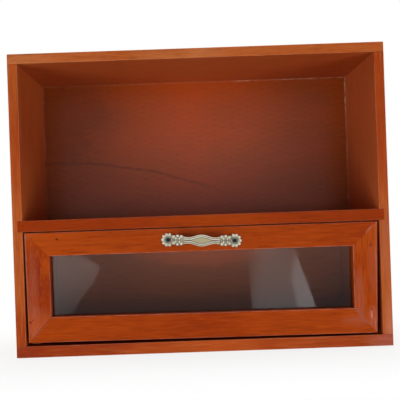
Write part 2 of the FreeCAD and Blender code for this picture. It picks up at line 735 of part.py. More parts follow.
def make_case():
    """The standing case: six boards, their brads and the staples of the back."""
    brads = make_case_brads()
    staples = make_staples()
    return [
        drilled("top_panel", make_top(), brads, staples),
        drilled("bottom_panel", make_bottom(), brads, staples),
        drilled("left_side", make_side("left_side", -1), brads, staples),
        drilled("right_side", make_side("right_side", 1), brads, staples),
        drilled("shelf", make_shelf(), brads, staples),
        drilled("back_panel", make_back(), staples),
        brads,
        staples,
    ]


def make_front():
    """The mitred drawer front, its pane and beads, and the pull on its top rail."""
    brads = make_front_brads()
    screws = group("handle_screws", [make_screw("screw_left", -1), make_screw("screw_right", 1)])
    bottom_rail = make_member("front_bottom_rail", "foot_left", "foot_right")
    cut_block(bottom_rail, "groove", INSIDE_LEFT, INSIDE_RIGHT, "-groove_depth", "0",
              FLOOR_LOW, "box_bottom_thickness + groove_play")
    return [
        drilled("front_top_rail", make_member("front_top_rail", "head_left", "head_right"), screws),
        bottom_rail,
        drilled("front_left_stile", make_member("front_left_stile", "head_left", "foot_left"), brads),
        drilled("front_right_stile", make_member("front_right_stile", "head_right", "foot_right"), brads),
        make_pane(),
        make_bead("bead_top", "head_left", "head_right"),
        make_bead("bead_bottom", "foot_left", "foot_right"),
        make_bead("bead_left", "head_left", "foot_left"),
        make_bead("bead_right", "head_right", "foot_right"),
        brads,
        make_pull(),
        screws,
    ]


def make_box(front_brads):
    """The box behind the drawer front."""
    brads = make_box_brads()
    left = make_box_side("drawer_left_side", BOX_LEFT, INSIDE_LEFT,
                         f"{INSIDE_LEFT} - groove_depth", INSIDE_LEFT)
    right = make_box_side("drawer_right_side", INSIDE_RIGHT, BOX_RIGHT,
                          INSIDE_RIGHT, f"{INSIDE_RIGHT} + groove_depth")
    return [
        drilled("drawer_left_side", left, front_brads, brads),
        drilled("drawer_right_side", right, front_brads, brads),
        drilled("drawer_back", make_box_back(), brads),
        drilled("drawer_bottom", make_box_bottom(), brads),
        brads,
    ]


def check(subparts):
    """Stop if any object failed, or if a sub-part is empty or not a valid shape."""
    for thing in doc.Objects:
        if "Invalid" in thing.State or "Error" in thing.State:
            raise RuntimeError(f"{thing.Label} did not build")
    for thing in subparts:
        if thing.Shape.isNull() or not thing.Shape.isValid() or not thing.Shape.Solids:
            raise RuntimeError(f"{thing.Label} is not a sound solid")


def export(subparts):
    """Write each sub-part to its own file and list what it holds."""
    os.makedirs("parts", exist_ok=True)
    for thing in subparts:
        shape = thing.Shape
        shape.exportStep(f"parts/{thing.Label}.step")
        print(f"{thing.Label:20s} solids {len(shape.Solids):3d}  volume {shape.Volume:10.1f}")


fill_sheet()
case = make_case()
front = make_front()
front_brads = [piece for piece in front if piece.Label == "front_brads"][0]
subparts = case + front + make_box(front_brads)
doc.recompute()
check(subparts)
export(subparts)
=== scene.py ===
"""Finishes, carved pull, stage and camera for a stained wood tabletop chest with a glazed drawer."""

from __future__ import annotations

import itertools
import json
import logging
import math
from dataclasses import dataclass, replace
from enum import Enum
from typing import Any, Optional, Union

import bmesh
import bpy
from mathutils import Matrix, Vector

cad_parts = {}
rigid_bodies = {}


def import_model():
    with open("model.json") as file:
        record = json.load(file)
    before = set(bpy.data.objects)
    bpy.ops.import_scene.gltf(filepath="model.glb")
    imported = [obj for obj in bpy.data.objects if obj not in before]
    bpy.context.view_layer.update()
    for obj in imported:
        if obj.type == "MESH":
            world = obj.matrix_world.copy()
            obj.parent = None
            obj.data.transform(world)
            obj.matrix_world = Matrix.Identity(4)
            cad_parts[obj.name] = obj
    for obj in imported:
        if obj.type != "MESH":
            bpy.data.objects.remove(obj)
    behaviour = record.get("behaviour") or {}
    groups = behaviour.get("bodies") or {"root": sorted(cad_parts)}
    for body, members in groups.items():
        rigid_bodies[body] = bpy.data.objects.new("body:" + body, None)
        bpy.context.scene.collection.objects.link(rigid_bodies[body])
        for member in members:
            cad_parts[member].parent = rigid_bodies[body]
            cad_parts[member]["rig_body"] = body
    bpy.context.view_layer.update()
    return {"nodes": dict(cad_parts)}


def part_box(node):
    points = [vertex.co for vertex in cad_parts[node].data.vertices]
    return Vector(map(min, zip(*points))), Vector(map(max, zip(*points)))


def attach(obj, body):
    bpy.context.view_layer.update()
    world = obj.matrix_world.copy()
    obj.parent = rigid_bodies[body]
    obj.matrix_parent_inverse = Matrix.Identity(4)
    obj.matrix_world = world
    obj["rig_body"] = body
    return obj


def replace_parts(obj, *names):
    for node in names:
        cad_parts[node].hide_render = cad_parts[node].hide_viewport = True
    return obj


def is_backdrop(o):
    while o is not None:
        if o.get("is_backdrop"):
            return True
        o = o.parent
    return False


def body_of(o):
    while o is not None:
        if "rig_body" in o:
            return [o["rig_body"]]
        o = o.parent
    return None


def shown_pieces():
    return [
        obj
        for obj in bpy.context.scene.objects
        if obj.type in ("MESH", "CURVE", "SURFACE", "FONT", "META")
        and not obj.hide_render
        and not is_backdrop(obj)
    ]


LOG = logging.getLogger("chest")
MM = 0.001
PER_METRE = 1000.0
WHITE = (1.0, 1.0, 1.0, 1.0)

# Sockets of a Mix node that mixes colours.
MIX_SHARE, MIX_UNDER, MIX_OVER, MIX_RESULT = 0, 6, 7, 2

Node = bpy.types.Node
Socket = bpy.types.NodeSocket
Material = bpy.types.Material
Piece = bpy.types.Object
Shape = bmesh.types.BMesh
Corner = bmesh.types.BMVert
Operand = Union["Signal", float, int]
Colour = tuple[int, int, int]
Point = tuple[float, float]
Place = tuple[float, float, float]


class Stain(Enum):
    """Colours of the stained wood, of scuffed edges that also carry painted highlights, of pale painted
    glints, and of patches of painted light and shade, each channel from 0 to 255.
    """

    SAND = (206, 150, 118)
    ROSE = (200, 126, 108)
    BLUSH = (176, 100, 78)
    CLAY = (206, 108, 60)
    BRICK = (198, 88, 42)
    CONKER = (222, 100, 47)
    HONEY = (194, 110, 58)
    AMBER = (184, 88, 32)
    EMBER = (186, 78, 16)
    RUSSET = (166, 63, 8)
    CHERRY = (152, 52, 6)
    CHESTNUT = (116, 40, 8)
    COCOA = (138, 60, 12)
    MULBERRY = (128, 40, 28)
    UMBER = (50, 20, 10)
    # PUTTY is the pale colour of the painted glints along the back sheet's joints, and of a small pale mark
    # on the right stile.
    PUTTY = (216, 196, 176)


def linear(channels: Colour) -> tuple[float, float, float, float]:
    """Turn a colour of 0 to 255 per channel into linear light with full alpha."""
    shares = [channel / 255 for channel in channels]
    return (*(part / 12.92 if part <= 0.04045 else ((part + 0.055) / 1.055) ** 2.4 for part in shares), 1.0)


class Texture(Enum):
    """Characters of a noise: its octaves and the weight of the finer ones."""

    SOFT = (2.0, 0.5)
    STRANDED = (2.0, 0.6)
    FIGURED = (3.0, 0.55)
    UNEVEN = (3.0, 0.6)
    RAGGED = (4.0, 0.6)
    TORN = (4.0, 0.7)


@dataclass(frozen=True)
class Fade:
    """Two values between which something comes in smoothly, and how much of it shows."""

    low: float
    high: float
    share: float = 1.0

    def at(self, value: float) -> float:
        """How much shows at a plain number."""
        part = max(0.0, min(1.0, (value - self.low) / (self.high - self.low)))
        return self.share * part * part * (3 - 2 * part)


class Signal:
    """A value that varies over a surface, on which shader maths is written."""

    def __init__(self, graph: Graph, socket: Socket) -> None:
        """Keep the graph and the socket that carries the value."""
        self.graph = graph
        self.socket = socket

    def __add__(self, other: Operand) -> Signal:
        """Sum."""
        return self.graph.maths("ADD", self, other)

    def __radd__(self, other: Operand) -> Signal:
        """Sum, reflected."""
        return self.graph.maths("ADD", other, self)

    def __sub__(self, other: Operand) -> Signal:
        """Difference."""
        return self.graph.maths("SUBTRACT", self, other)

    def __rsub__(self, other: Operand) -> Signal:
        """Difference, reflected."""
        return self.graph.maths("SUBTRACT", other, self)

    def __mul__(self, other: Operand) -> Signal:
        """Product."""
        return self.graph.maths("MULTIPLY", self, other)

    def __rmul__(self, other: Operand) -> Signal:
        """Product, reflected."""
        return self.graph.maths("MULTIPLY", other, self)

    def __truediv__(self, other: Operand) -> Signal:
        """Quotient."""
        return self.graph.maths("DIVIDE", self, other)

    def __pow__(self, other: Operand) -> Signal:
        """Power."""
        return self.graph.maths("POWER", self, other)

    def __abs__(self) -> Signal:
        """Size without sign."""
        return self.graph.maths("ABSOLUTE", self)

    def least(self, other: Operand) -> Signal:
        """The smaller of two values."""
        return self.graph.maths("MINIMUM", self, other)

    def most(self, other: Operand) -> Signal:
        """The larger of two values."""
        return self.graph.maths("MAXIMUM", self, other)

    def wave(self) -> Signal:
        """Sine of the value."""
        return self.graph.maths("SINE", self)

    def swing(self, width: float) -> Signal:
        """Turn a noise round one half into one round zero, of a given width."""
        return (self - 0.5) * width

    def rise(self, low: float, high: float) -> Signal:
        """Go smoothly from 0 at low to 1 at high, or fall where low is the larger.

        Args:
            low: Value that gives 0.
            high: Value that gives 1.

        Returns:
            The smooth step.
        """
        if low > high:
            return 1 - self.rise(high, low)
        settings = {"interpolation_type": "SMOOTHSTEP", "clamp": True}
        inputs = {"Value": self, "From Min": low, "From Max": high}
        return Signal(self.graph, self.graph.node("ShaderNodeMapRange", settings, inputs).outputs[0])

    def fade(self, fade: Fade) -> Signal:
        """How much shows of something that comes in between two values."""
        shown = self.rise(fade.low, fade.high)
        return shown if fade.share == 1 else shown * fade.share


class Graph:
    """Nodes of one material or world under construction."""

    def __init__(self, owner: Union[Material, bpy.types.World]) -> None:
        """Start with an empty tree.

        Args:
            owner: The material or world that the nodes belong to.
        """
        self.owner = owner
        owner.use_nodes = True
        self.tree = owner.node_tree
        self.tree.nodes.clear()

    @classmethod
    def material(cls, name: str) -> Graph:
        """Start a new material."""
        return cls(bpy.data.materials.new(name))

    def node(self, kind: str, settings: Optional[dict[str, Any]] = None,
             inputs: Optional[dict[Union[str, int], Any]] = None) -> Node:
        """Add one node.

        Args:
            kind: Type name of the node.
            settings: Properties, set before its sockets. The stops of a ramp are (place, colour) pairs.
            inputs: Values or links of its sockets, by name or number.

        Returns:
            The new node.
        """
        made = self.tree.nodes.new(kind)
        for key, setting in (settings or {}).items():
            if key == "stops":
                self.fill_ramp(made.color_ramp, setting)
            else:
                setattr(made, key, setting)
        for key, given in (inputs or {}).items():
            given = given.socket if isinstance(given, Signal) else given
            if isinstance(given, Socket):
                self.tree.links.new(given, made.inputs[key])
            else:
                made.inputs[key].default_value = linear(given.value) if isinstance(given, Stain) else given
        return made

    @staticmethod
    def fill_ramp(ramp: bpy.types.ColorRamp, stops: list[tuple[float, Stain]]) -> None:
        """Set the stops of a ramp, which starts with two.

        Args:
            ramp: The ramp to fill.
            stops: Place and colour of each stop, in order.
        """
        while len(ramp.elements) < len(stops):
            ramp.elements.new(1.0)
        for element, (place, stain) in zip(ramp.elements, stops):
            element.position = place
            element.color = linear(stain.value)

    def maths(self, operation: str, *operands: Operand) -> Signal:
        """Add a Math node and hand over its result."""
        made = self.node("ShaderNodeMath", {"operation": operation}, dict(enumerate(operands)))
        return Signal(self, made.outputs[0])

    def blend(self, share: Operand, under: Any, over: Any) -> Socket:
        """Lay a share of one colour over another."""
        colours = {MIX_SHARE: share, MIX_UNDER: under, MIX_OVER: over}
        return self.node("ShaderNodeMix", {"data_type": "RGBA"}, colours).outputs[MIX_RESULT]

    def ramp(self, share: Operand, tones: tuple[Stain, ...]) -> Socket:
        """Run through evenly spaced colours, from the first at 0 to the last at 1."""
        stops = [(number / (len(tones) - 1), tone) for number, tone in enumerate(tones)]
        return self.node("ShaderNodeValToRGB", {"stops": stops}, {0: share}).outputs[0]

    def mix(self, share: Signal, first: Node, second: Node) -> Node:
        """Mix two shaders, with the share of the second."""
        return self.node("ShaderNodeMixShader", None, {0: share, 1: first.outputs[0], 2: second.outputs[0]})

    def join(self, x: Operand, y: Operand, z: Operand) -> Socket:
        """Put three values into one vector."""
        return self.node("ShaderNodeCombineXYZ", None, {0: x, 1: y, 2: z}).outputs[0]

    def noise(self, place: Socket, texture: Texture, warp: float = 0.0) -> Signal:
        """Noise about one unit across, from 0 to 1 round one half.

        Args:
            place: Where on the surface, already in units of the noise.
            texture: Its character.
            warp: How much it is distorted.

        Returns:
            The noise.
        """
        detail, roughness = texture.value
        inputs = {"Vector": place, "Scale": 1, "Detail": detail, "Roughness": roughness, "Distortion": warp}
        return Signal(self, self.node("ShaderNodeTexNoise", None, inputs).outputs[0])

    def cloud(self, place: tuple[Operand, ...], size: float, texture: Texture) -> Signal:
        """Noise of one size in every direction, in millimetres."""
        return self.noise(self.join(*(part / size for part in place)), texture)

    def place(self) -> tuple[Signal, Signal, Signal]:
        """Place on the object at rest.

        Returns:
            The place along X, Y and Z, in millimetres.
        """
        spot = self.node("ShaderNodeTexCoord").outputs["Object"]
        scaled = self.node("ShaderNodeVectorMath", {"operation": "SCALE"}, {0: spot, "Scale": PER_METRE})
        parts = self.node("ShaderNodeSeparateXYZ", None, {0: scaled.outputs[0]}).outputs
        return Signal(self, parts[0]), Signal(self, parts[1]), Signal(self, parts[2])

    def bump(self, height: Signal, depth: float) -> Socket:
        """Normal from a height of 0 to 1, whose full depth is in millimetres."""
        return self.node("ShaderNodeBump", None, {"Height": height, "Distance": depth * MM}).outputs[0]

    def surface(self, inputs: dict[Union[str, int], Any]) -> Material:
        """Add the main shader and hand the material over."""
        return self.output(self.node("ShaderNodeBsdfPrincipled", None, inputs))

    def output(self, shader: Node) -> Material:
        """Connect a shader and hand the material over."""
        self.node("ShaderNodeOutputMaterial", None, {"Surface": shader.outputs[0]})
        return self.owner


def span(node: str) -> tuple[Vector, Vector]:
    """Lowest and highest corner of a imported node, in millimetres."""
    low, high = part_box(node)
    return low * PER_METRE, high * PER_METRE


def assign(piece: Piece, material: Material) -> None:
    """Put one material into every slot of a piece.

    Args:
        piece: The piece.
        material: Its material.
    """
    if not piece.material_slots:
        piece.data.materials.append(material)
    for material_slot in piece.material_slots:
        material_slot.material = material


def place_mesh(name: str, made: Shape) -> Piece:
    """Turn a finished shape into a piece of the scene.

    Args:
        name: Name of the piece.
        made: Its shape, which is used up.

    Returns:
        The piece.
    """
    mesh = bpy.data.meshes.new(name)
    made.to_mesh(mesh)
    made.free()
    piece = bpy.data.objects.new(name, mesh)
    bpy.context.scene.collection.objects.link(piece)
    return piece


def hide_from(piece: Piece, *rays: str) -> None:
    """Hide a piece from some kinds of light rays."""
    for ray in rays:
        setattr(piece, "visible_" + ray, False)


class Grain(Enum):
    """Axis along which the wood fibres run."""

    ALONG_X = 0
    ALONG_Y = 1
    ALONG_Z = 2


@dataclass(frozen=True)
class Ground:
    """Front of a board for its marks: the place in millimetres and the noises that break them up."""

    graph: Graph
    x: Signal
    z: Signal
    front: Signal
    patch: Signal
    broad: Signal
    fine: Signal
    pores: Signal
    seed: float


Coats = list[tuple[Signal, Stain]]


@dataclass(frozen=True)
class Spot:
    """A small mark on the front of a board, such as a knot or a filled nail hole, in millimetres."""

    x: float
    z: float
    half_width: float
    half_height: float
    stain: Stain
    strength: float
    softness: float = 0.2
    broken: float = 0.0
    solid: Fade = Fade(0.6, 0.4)

    def coats(self, ground: Ground) -> Coats:
        """Draw the mark.

        Args:
            ground: Front of the board.

        Returns:
            Share and stain of its one coat.
        """
        reach = ((ground.x - self.x) / self.half_width) ** 2 + ((ground.z - self.z) / self.half_height) ** 2
        ragged = reach + ground.fine.swing(2 * self.broken) + ground.patch.swing(2 * self.softness)
        mask = ragged.rise(1 + self.softness, 1 - self.softness) * ground.front * self.strength
        return [(mask * (1 - ground.fine.fade(self.solid) * self.broken), self.stain)]


@dataclass(frozen=True)
class Smear(Spot):
    """A soft patch of colour that the fibres break up: mostly a stain, and in some places a painted sheen or
    highlight.
    """

    softness: float = 0.9
    broken: float = 0.9


@dataclass(frozen=True)
class Line:
    """A straight line across the front of a board, in millimetres."""

    start: Point
    end: Point

    def measure(self, x: Signal, z: Signal, way: Vector) -> Signal:
        """How far a place lies from the start in one direction."""
        return (x - self.start[0]) * way.x + (z - self.start[1]) * way.y

    def along(self, x: Signal, z: Signal) -> Signal:
        """How far a place lies along the line, 0 at the start and 1 at the end."""
        run = Vector(self.end) - Vector(self.start)
        return self.measure(x, z, run / run.length_squared)

    def distance(self, x: Signal, z: Signal) -> Signal:
        """Distance of a place from the line, in millimetres."""
        run = (Vector(self.end) - Vector(self.start)).normalized()
        return abs(self.measure(x, z, Vector((-run.y, run.x))))


@dataclass(frozen=True)
class Mitre(Line):
    """An open joint between two members: a dark line with pale wood beside it, scuffed and painted with a
    highlight, over part of its length.
    """

    dark: float
    pale: float
    shown: Point
    wander: float = 0.3
    tail: float = 0.1
    wear_glint_reach: Fade = Fade(1.8, 0.2)
    patches: Fade = Fade(0.35, 0.7)
    gap: Fade = Fade(0.36, 0.1)

    def coats(self, ground: Ground) -> Coats:
        """Draw the joint.

        Args:
            ground: Front of the board.

        Returns:
            Share and stain of the pale wood, scuffed and painted with a highlight, and of the gap.
        """
        off = self.distance(ground.x, ground.z)
        along = self.along(ground.x, ground.z) + ground.patch.swing(self.wander)
        near, far = self.shown
        reach = along.rise(near - self.tail, near + self.tail) * along.rise(far + self.tail, far - self.tail)
        pale = off.fade(self.wear_glint_reach) * ground.patch.fade(self.patches) * reach * self.pale
        return [(pale, Stain.ROSE), (off.fade(self.gap) * reach * self.dark, Stain.UMBER)]


@dataclass(frozen=True)
class Bend:
    """A dark line that bends down across a sheet, in millimetres."""

    start: Point
    slope: float
    droop: float
    end: float
    wander: float = 5.0
    tail: float = 18.0
    line: Fade = Fade(2.0, 0.2, 0.42)
    gaps: Fade = Fade(0.3, 0.55)

    def coats(self, ground: Ground) -> Coats:
        """Draw the line.

        Args:
            ground: Front of the board.

        Returns:
            Share and stain of its one coat.
        """
        along = (ground.x - self.start[0]).most(0.0)
        above = ground.z - self.start[1] + along * self.slope + along * along * self.droop
        off = abs(above + ground.broad.swing(self.wander))
        reach = ground.x.rise(self.end + self.tail, self.end - self.tail) * ground.pores.fade(self.gaps)
        return [(off.fade(self.line) * reach, Stain.UMBER)]


@dataclass(frozen=True)
class JointGlint:
    """A thin uneven pale line along a joint of a sheet, upright or level, in millimetres: a painted glint
    where the joint catches the light.
    """

    upright: bool
    at: float
    width: float
    strength: float
    start: float
    end: float
    tail: float = 6.0
    core: float = 0.2
    patch: float = 5.0
    gaps: Fade = Fade(0.34, 0.7)

    def coats(self, ground: Ground) -> Coats:
        """Draw the painted glint.

        Args:
            ground: Front of the board.

        Returns:
            Share and stain of its one coat.
        """
        patchy = ground.graph.cloud((ground.x, ground.seed * self.patch, ground.z), self.patch, Texture.TORN)
        across, run = (ground.x, ground.z) if self.upright else (ground.z, ground.x)
        reach = run.rise(self.start - self.tail, self.start + self.tail)
        reach = reach * run.rise(self.end + self.tail, self.end - self.tail)
        line = abs(across - self.at).rise(self.width, self.width * self.core) * patchy.fade(self.gaps)
        return [(line * reach * ground.front * self.strength, Stain.PUTTY)]


@dataclass(frozen=True)
class Board:
    """Extent of a piece of wood, in millimetres, where its edges turn pale with scuffing and a painted
    highlight, which face takes painted light, and the marks on its front.
    """

    low: Place
    high: Place
    edges: tuple[Line, ...] = ()
    marks: tuple[Union[Spot, Mitre, Bend, JointGlint], ...] = ()
    joined: tuple[int, ...] = ()
    inner: Optional[tuple[int, float]] = None
    joined_edge_offset: float = 20.0

    @classmethod
    def of(cls, node: str, **details: Any) -> Board:
        """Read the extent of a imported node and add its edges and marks."""
        low, high = span(node)
        return cls(tuple(low), tuple(high), **details)

    def arris(self, place: tuple[Signal, Signal, Signal]) -> Signal:
        """Distance from the nearest edge where two faces meet.

        Args:
            place: Place in millimetres.

        Returns:
            Distance in millimetres.
        """
        from_face = [(axis - low).least(high - axis) for axis, low, high in zip(place, self.low, self.high)]
        for number in self.joined:
            from_face[number] = from_face[number] + self.joined_edge_offset
        if self.edges:
            near, far = (edge.distance(place[0], place[2]) for edge in self.edges)
            return near.least(far).most(from_face[1])
        first, second, third = from_face
        total = first + second + third
        return total - first.most(second).most(third) - first.least(second).least(third)


@dataclass(frozen=True)
class Layer:
    """One noise of the wood: its size along and across the fibres in millimetres, and its character."""

    along: float
    across: float
    shift: float
    texture: Texture
    warp: float = 0.0
    shorter_curled: float = 0.0
    warp_curled: float = 0.0


FIGURE = Layer(85.0, 6.0, 3.1, Texture.FIGURED, warp=0.6)
BROAD = Layer(60.0, 26.0, 11.7, Texture.SOFT)
STRAND = Layer(20.0, 1.7, 7.9, Texture.STRANDED, shorter_curled=13.0, warp_curled=2.0)
FIBRE = Layer(18.0, 0.8, 5.3, Texture.UNEVEN, shorter_curled=10.0, warp_curled=1.0)
PORES = Layer(5.5, 0.34, 17.9, Texture.SOFT)


@dataclass(frozen=True)
class Weave:
    """Staggered rows of short dashes on thin plywood, in millimetres: painted darker into the colour as
    painted shade for their uneven sheen, and made a little rougher.
    """

    row: float = 5.2
    column: float = 7.5
    lean_size: float = 60.0
    lean_up: float = 9.0
    lean_across: float = 14.0
    dash: Fade = Fade(-0.1, 0.8)
    patch: Point = (9.0, 5.0)
    patch_shift: float = 0.3
    gaps: Fade = Fade(0.25, 0.7)
    # Share of painted shade in the dashes.
    stain: float = 0.14
    dullness: float = 0.03

    def dashes(self, graph: Graph, x: Signal, z: Signal) -> Signal:
        """Draw the dashes.

        Args:
            graph: The material.
            x: Place along X.
            z: Place along Z.

        Returns:
            1 in the dashes, 0 between them.
        """
        lean = graph.cloud((x, 0.0, z), self.lean_size, Texture.SOFT)
        rows = ((z + lean.swing(self.lean_up)) * (math.tau / self.row)).wave()
        columns = ((x + lean.swing(self.lean_across)) * (math.pi / self.column)).wave()
        patch = graph.join(x / self.patch[0], self.patch_shift, z / self.patch[1])
        patchy = graph.noise(patch, Texture.UNEVEN)
        return (rows * columns).fade(self.dash) * patchy.fade(self.gaps)


@dataclass(frozen=True)
class WoodFinish:
    """Stained softwood under a thin satin lacquer."""

    name: str
    grain: Grain
    tones: tuple[Stain, ...]
    seed: float
    streak: float = 0.5
    # Pale edges: scuffing of the finish, which also paints the highlight of the rounded edges.
    wear_glint: float = 0.7
    wear_glint_tone: Stain = Stain.SAND
    wear_glint_width: float = 0.55
    roughness: float = 0.42
    shine: float = 0.2
    # Painted light on the faces within the case: how much of a lighter tone they take, and that tone.
    inner_light_share: float = 0.0
    inner_light_tone: Stain = Stain.CLAY
    glow: Stain = Stain.HONEY
    curl: float = 0.0
    pore: float = 0.4
    relief: float = 0.10
    weave: Optional[Weave] = None
    seamed: bool = False

    index = 1.45
    seed_step = 7.31
    tone_drift = 0.5
    patch_size = 9.0
    inner_skin = Fade(0.9, 0.4)
    behind_edge = Fade(0.6, 2.0)
    inner_least = 0.7
    inner_drift = 0.6
    ring_count = 30.0
    ring_sharpness = 1.6
    ring_share = 0.2
    dark_figure = Fade(0.55, 0.75, 0.35)
    dark_strand = Fade(0.5, 0.7, 0.5)
    dark_fibre = Fade(0.5, 0.74, 0.5)
    pale_strand = Fade(0.5, 0.3, 0.6)
    pale_fibre = Fade(0.5, 0.3, 0.4)
    open_pore = Fade(0.64, 0.74)
    pore_dip = Fade(0.62, 0.76)
    fibre_dullness = 0.22
    wear_glint_inner = 0.08
    wear_glint_patches = Fade(0.28, 0.62)
    rub_dullness = 0.12
    seam_line = Fade(0.4, 0.1, 0.4)
    front_skin = Fade(1.6, 0.5)

    def drawn(self, graph: Graph, place: tuple[Signal, ...], layer: Layer) -> Signal:
        """Noise drawn out along the fibres.

        Args:
            graph: The material.
            place: Place in millimetres.
            layer: Its size and character.

        Returns:
            The noise.
        """
        sizes = [layer.across] * len(place)
        sizes[self.grain.value] = layer.along - layer.shorter_curled * self.curl
        shift = self.seed * self.seed_step + layer.shift
        moved = [axis / size + shift for axis, size in zip(place, sizes)]
        warp = layer.warp + layer.warp_curled * self.curl
        return graph.noise(graph.join(*moved), layer.texture, warp)

    def build(self, board: Board) -> Material:
        """Make the material for one board.

        Args:
            board: Extent and marks of the board.

        Returns:
            The material.
        """
        graph = Graph.material(self.name)
        place = graph.place()
        x, y, z = place
        along = place[self.grain.value]
        low, high = board.low[self.grain.value], board.high[self.grain.value]
        depth = y - board.low[1]
        layers = (FIGURE, BROAD, STRAND, FIBRE, PORES)
        figure, broad, strand, fibre, pores = (self.drawn(graph, place, layer) for layer in layers)

        colour = graph.ramp((along - low) / (high - low) + broad.swing(self.tone_drift), self.tones)
        if board.inner:
            axis, face = board.inner
            # The inner face is painted lighter from just behind its front edge, as painted light.
            lit_inside = abs(place[axis] - face).fade(self.inner_skin) * depth.fade(self.behind_edge)
            lit_inside = lit_inside * (self.inner_least + broad * self.inner_drift) * self.inner_light_share
            colour = graph.blend(lit_inside, colour, self.inner_light_tone)
        rings = ((figure * self.ring_count).wave() * 0.5 + 0.5) ** self.ring_sharpness * self.ring_share
        lines = strand.fade(self.dark_strand) + fibre.fade(self.dark_fibre)
        dark = figure.fade(self.dark_figure) + rings + lines
        colour = graph.blend(dark * self.streak, colour, Stain.CHESTNUT)
        pale = strand.fade(self.pale_strand) + fibre.fade(self.pale_fibre)
        colour = graph.blend(pale * self.streak, colour, self.glow)
        colour = graph.blend(pores.fade(self.open_pore) * self.pore, colour, Stain.UMBER)
        roughness = self.roughness + fibre.swing(self.fibre_dullness)
        if self.weave:
            dashes = self.weave.dashes(graph, x, z)
            # The dashes are painted darker, as painted shade for their uneven sheen.
            colour = graph.blend(dashes * self.weave.stain, colour, Stain.UMBER)
            roughness = roughness + dashes * self.weave.dullness
        patch = graph.cloud((x, y, z + self.patch_size * self.seed), self.patch_size, Texture.UNEVEN)
        # Pale patches along the edges: scuffing, and a painted highlight where the rounded edges catch the
        # light.
        wear_glint_reach = board.arris(place).rise(self.wear_glint_width, self.wear_glint_inner)
        wear_glint_mask = wear_glint_reach * patch.fade(self.wear_glint_patches) * self.wear_glint
        colour = graph.blend(wear_glint_mask, colour, self.wear_glint_tone)
        fine = (strand + fibre) / 2
        ground = Ground(graph, x, z, depth.fade(self.front_skin), patch, broad, fine, pores, self.seed)
        for share, stain in itertools.chain(*(mark.coats(ground) for mark in board.marks)):
            colour = graph.blend(share, colour, stain)
        if self.seamed:
            ends = (along - low).least(high - along)
            colour = graph.blend(ends.fade(self.seam_line), colour, Stain.UMBER)
        return graph.surface({
            "Base Color": colour,
            "Roughness": roughness + wear_glint_mask * self.rub_dullness,
            "Normal": graph.bump((fibre + 1 - pores.fade(self.pore_dip)) / 2, self.relief),
            "IOR": self.index,
            "Specular IOR Level": self.shine,
        })


@dataclass(frozen=True)
class MetalFinish:
    """Metal with grime in its hollows, painted shade on the rims and underside of the carving, and polished
    high places whose near-white also paints highlights, in millimetres.
    """

    name: str
    bright: Colour
    dull: Colour
    dirt_shade_colour: Colour
    roughness: float
    metallic: float
    carved: bool = False
    # Near-white of the polished high places, which also serves as a painted highlight.
    rubbed_glint: Colour = (250, 244, 224)
    gilt: Colour = (192, 180, 142)
    cloud_size: float = 2.6
    grit_size: float = 0.5
    clouds: Fade = Fade(0.35, 0.65)
    rubbed_glint_share: float = 0.9
    hollows: Fade = Fade(0.2, 0.8)
    ragged: float = 0.2
    dirt_shade_share: float = 0.92
    dirt_dullness: float = 0.7
    cloud_dullness: float = 0.25
    relief: float = 0.03

    def build(self) -> Material:
        """Make the material.

        Returns:
            The material.
        """
        graph = Graph.material(self.name)
        place = graph.place()
        cloud = graph.cloud(place, self.cloud_size, Texture.RAGGED)
        grit = graph.cloud(place, self.grit_size, Texture.SOFT)
        colour = graph.blend(cloud.fade(self.clouds), linear(self.dull), linear(self.bright))
        shine: Operand = self.metallic
        if self.carved:
            hollow_and_shade, high, panel = (self.layer(graph, name) for name in Relief.LAYERS)
            colour = graph.blend(panel, colour, linear(self.gilt))
            # Ridges and beads are laid near-white: polished brass, and a painted highlight.
            colour = graph.blend(high * self.rubbed_glint_share, colour, linear(self.rubbed_glint))
            # Grime in the hollows, and painted shade where the mesh marks the rims, the underside and the
            # rosette edges, darkens the metal.
            dirt_and_shade = (hollow_and_shade + grit.swing(self.ragged)).fade(self.hollows)
            colour = graph.blend(dirt_and_shade * self.dirt_shade_share, colour, linear(self.dirt_shade_colour))
            shine = self.metallic * (1 - dirt_and_shade * self.dirt_dullness)
        return graph.surface({
            "Base Color": colour,
            "Metallic": shine,
            "Roughness": self.roughness + cloud.swing(self.cloud_dullness),
            "Normal": graph.bump(grit, self.relief),
        })

    @staticmethod
    def layer(graph: Graph, name: str) -> Signal:
        """Value that the mesh carries in one of its layers."""
        return Signal(graph, graph.node("ShaderNodeAttribute", {"attribute_name": name}).outputs["Fac"])


BRAD_STEEL = MetalFinish("brad_steel", (150, 146, 140), (96, 90, 84), (40, 34, 30), 0.45, 0.9)
PULL_BRASS = MetalFinish("antique_brass", (226, 218, 190), (186, 180, 154), (70, 58, 60), 0.38, 0.5, True)


@dataclass(frozen=True)
class ScrewFinish:
    """Steel screw heads with a dark disc in the middle, painted shade for their recess, in millimetres."""

    centres: tuple[Point, Point]
    recess: float = 1.55
    recess_edge: float = 0.25
    ragged: float = 0.3
    grit_size: float = 0.6
    rim: Colour = (150, 158, 168)
    # Colour of the painted shade in the recess.
    dark: Colour = (34, 30, 32)
    metallic: float = 0.5
    roughness: float = 0.4
    dullness: float = 0.1

    def build(self) -> Material:
        """Make the material.

        Returns:
            The material.
        """
        graph = Graph.material("screw_heads")
        x, _, z = graph.place()
        grit = graph.cloud((x, 0.0, z), self.grit_size, Texture.SOFT)
        left, right = (((x - across) ** 2 + (z - up) ** 2) ** 0.5 for across, up in self.centres)
        away = left.least(right) + grit.swing(self.ragged)
        # The middle of each head is painted dark, as painted shade for its recess.
        rim = away.rise(self.recess - self.recess_edge, self.recess + self.recess_edge)
        return graph.surface({
            "Base Color": graph.blend(rim, linear(self.dark), linear(self.rim)),
            "Metallic": self.metallic,
            "Roughness": self.roughness + grit * self.dullness,
        })


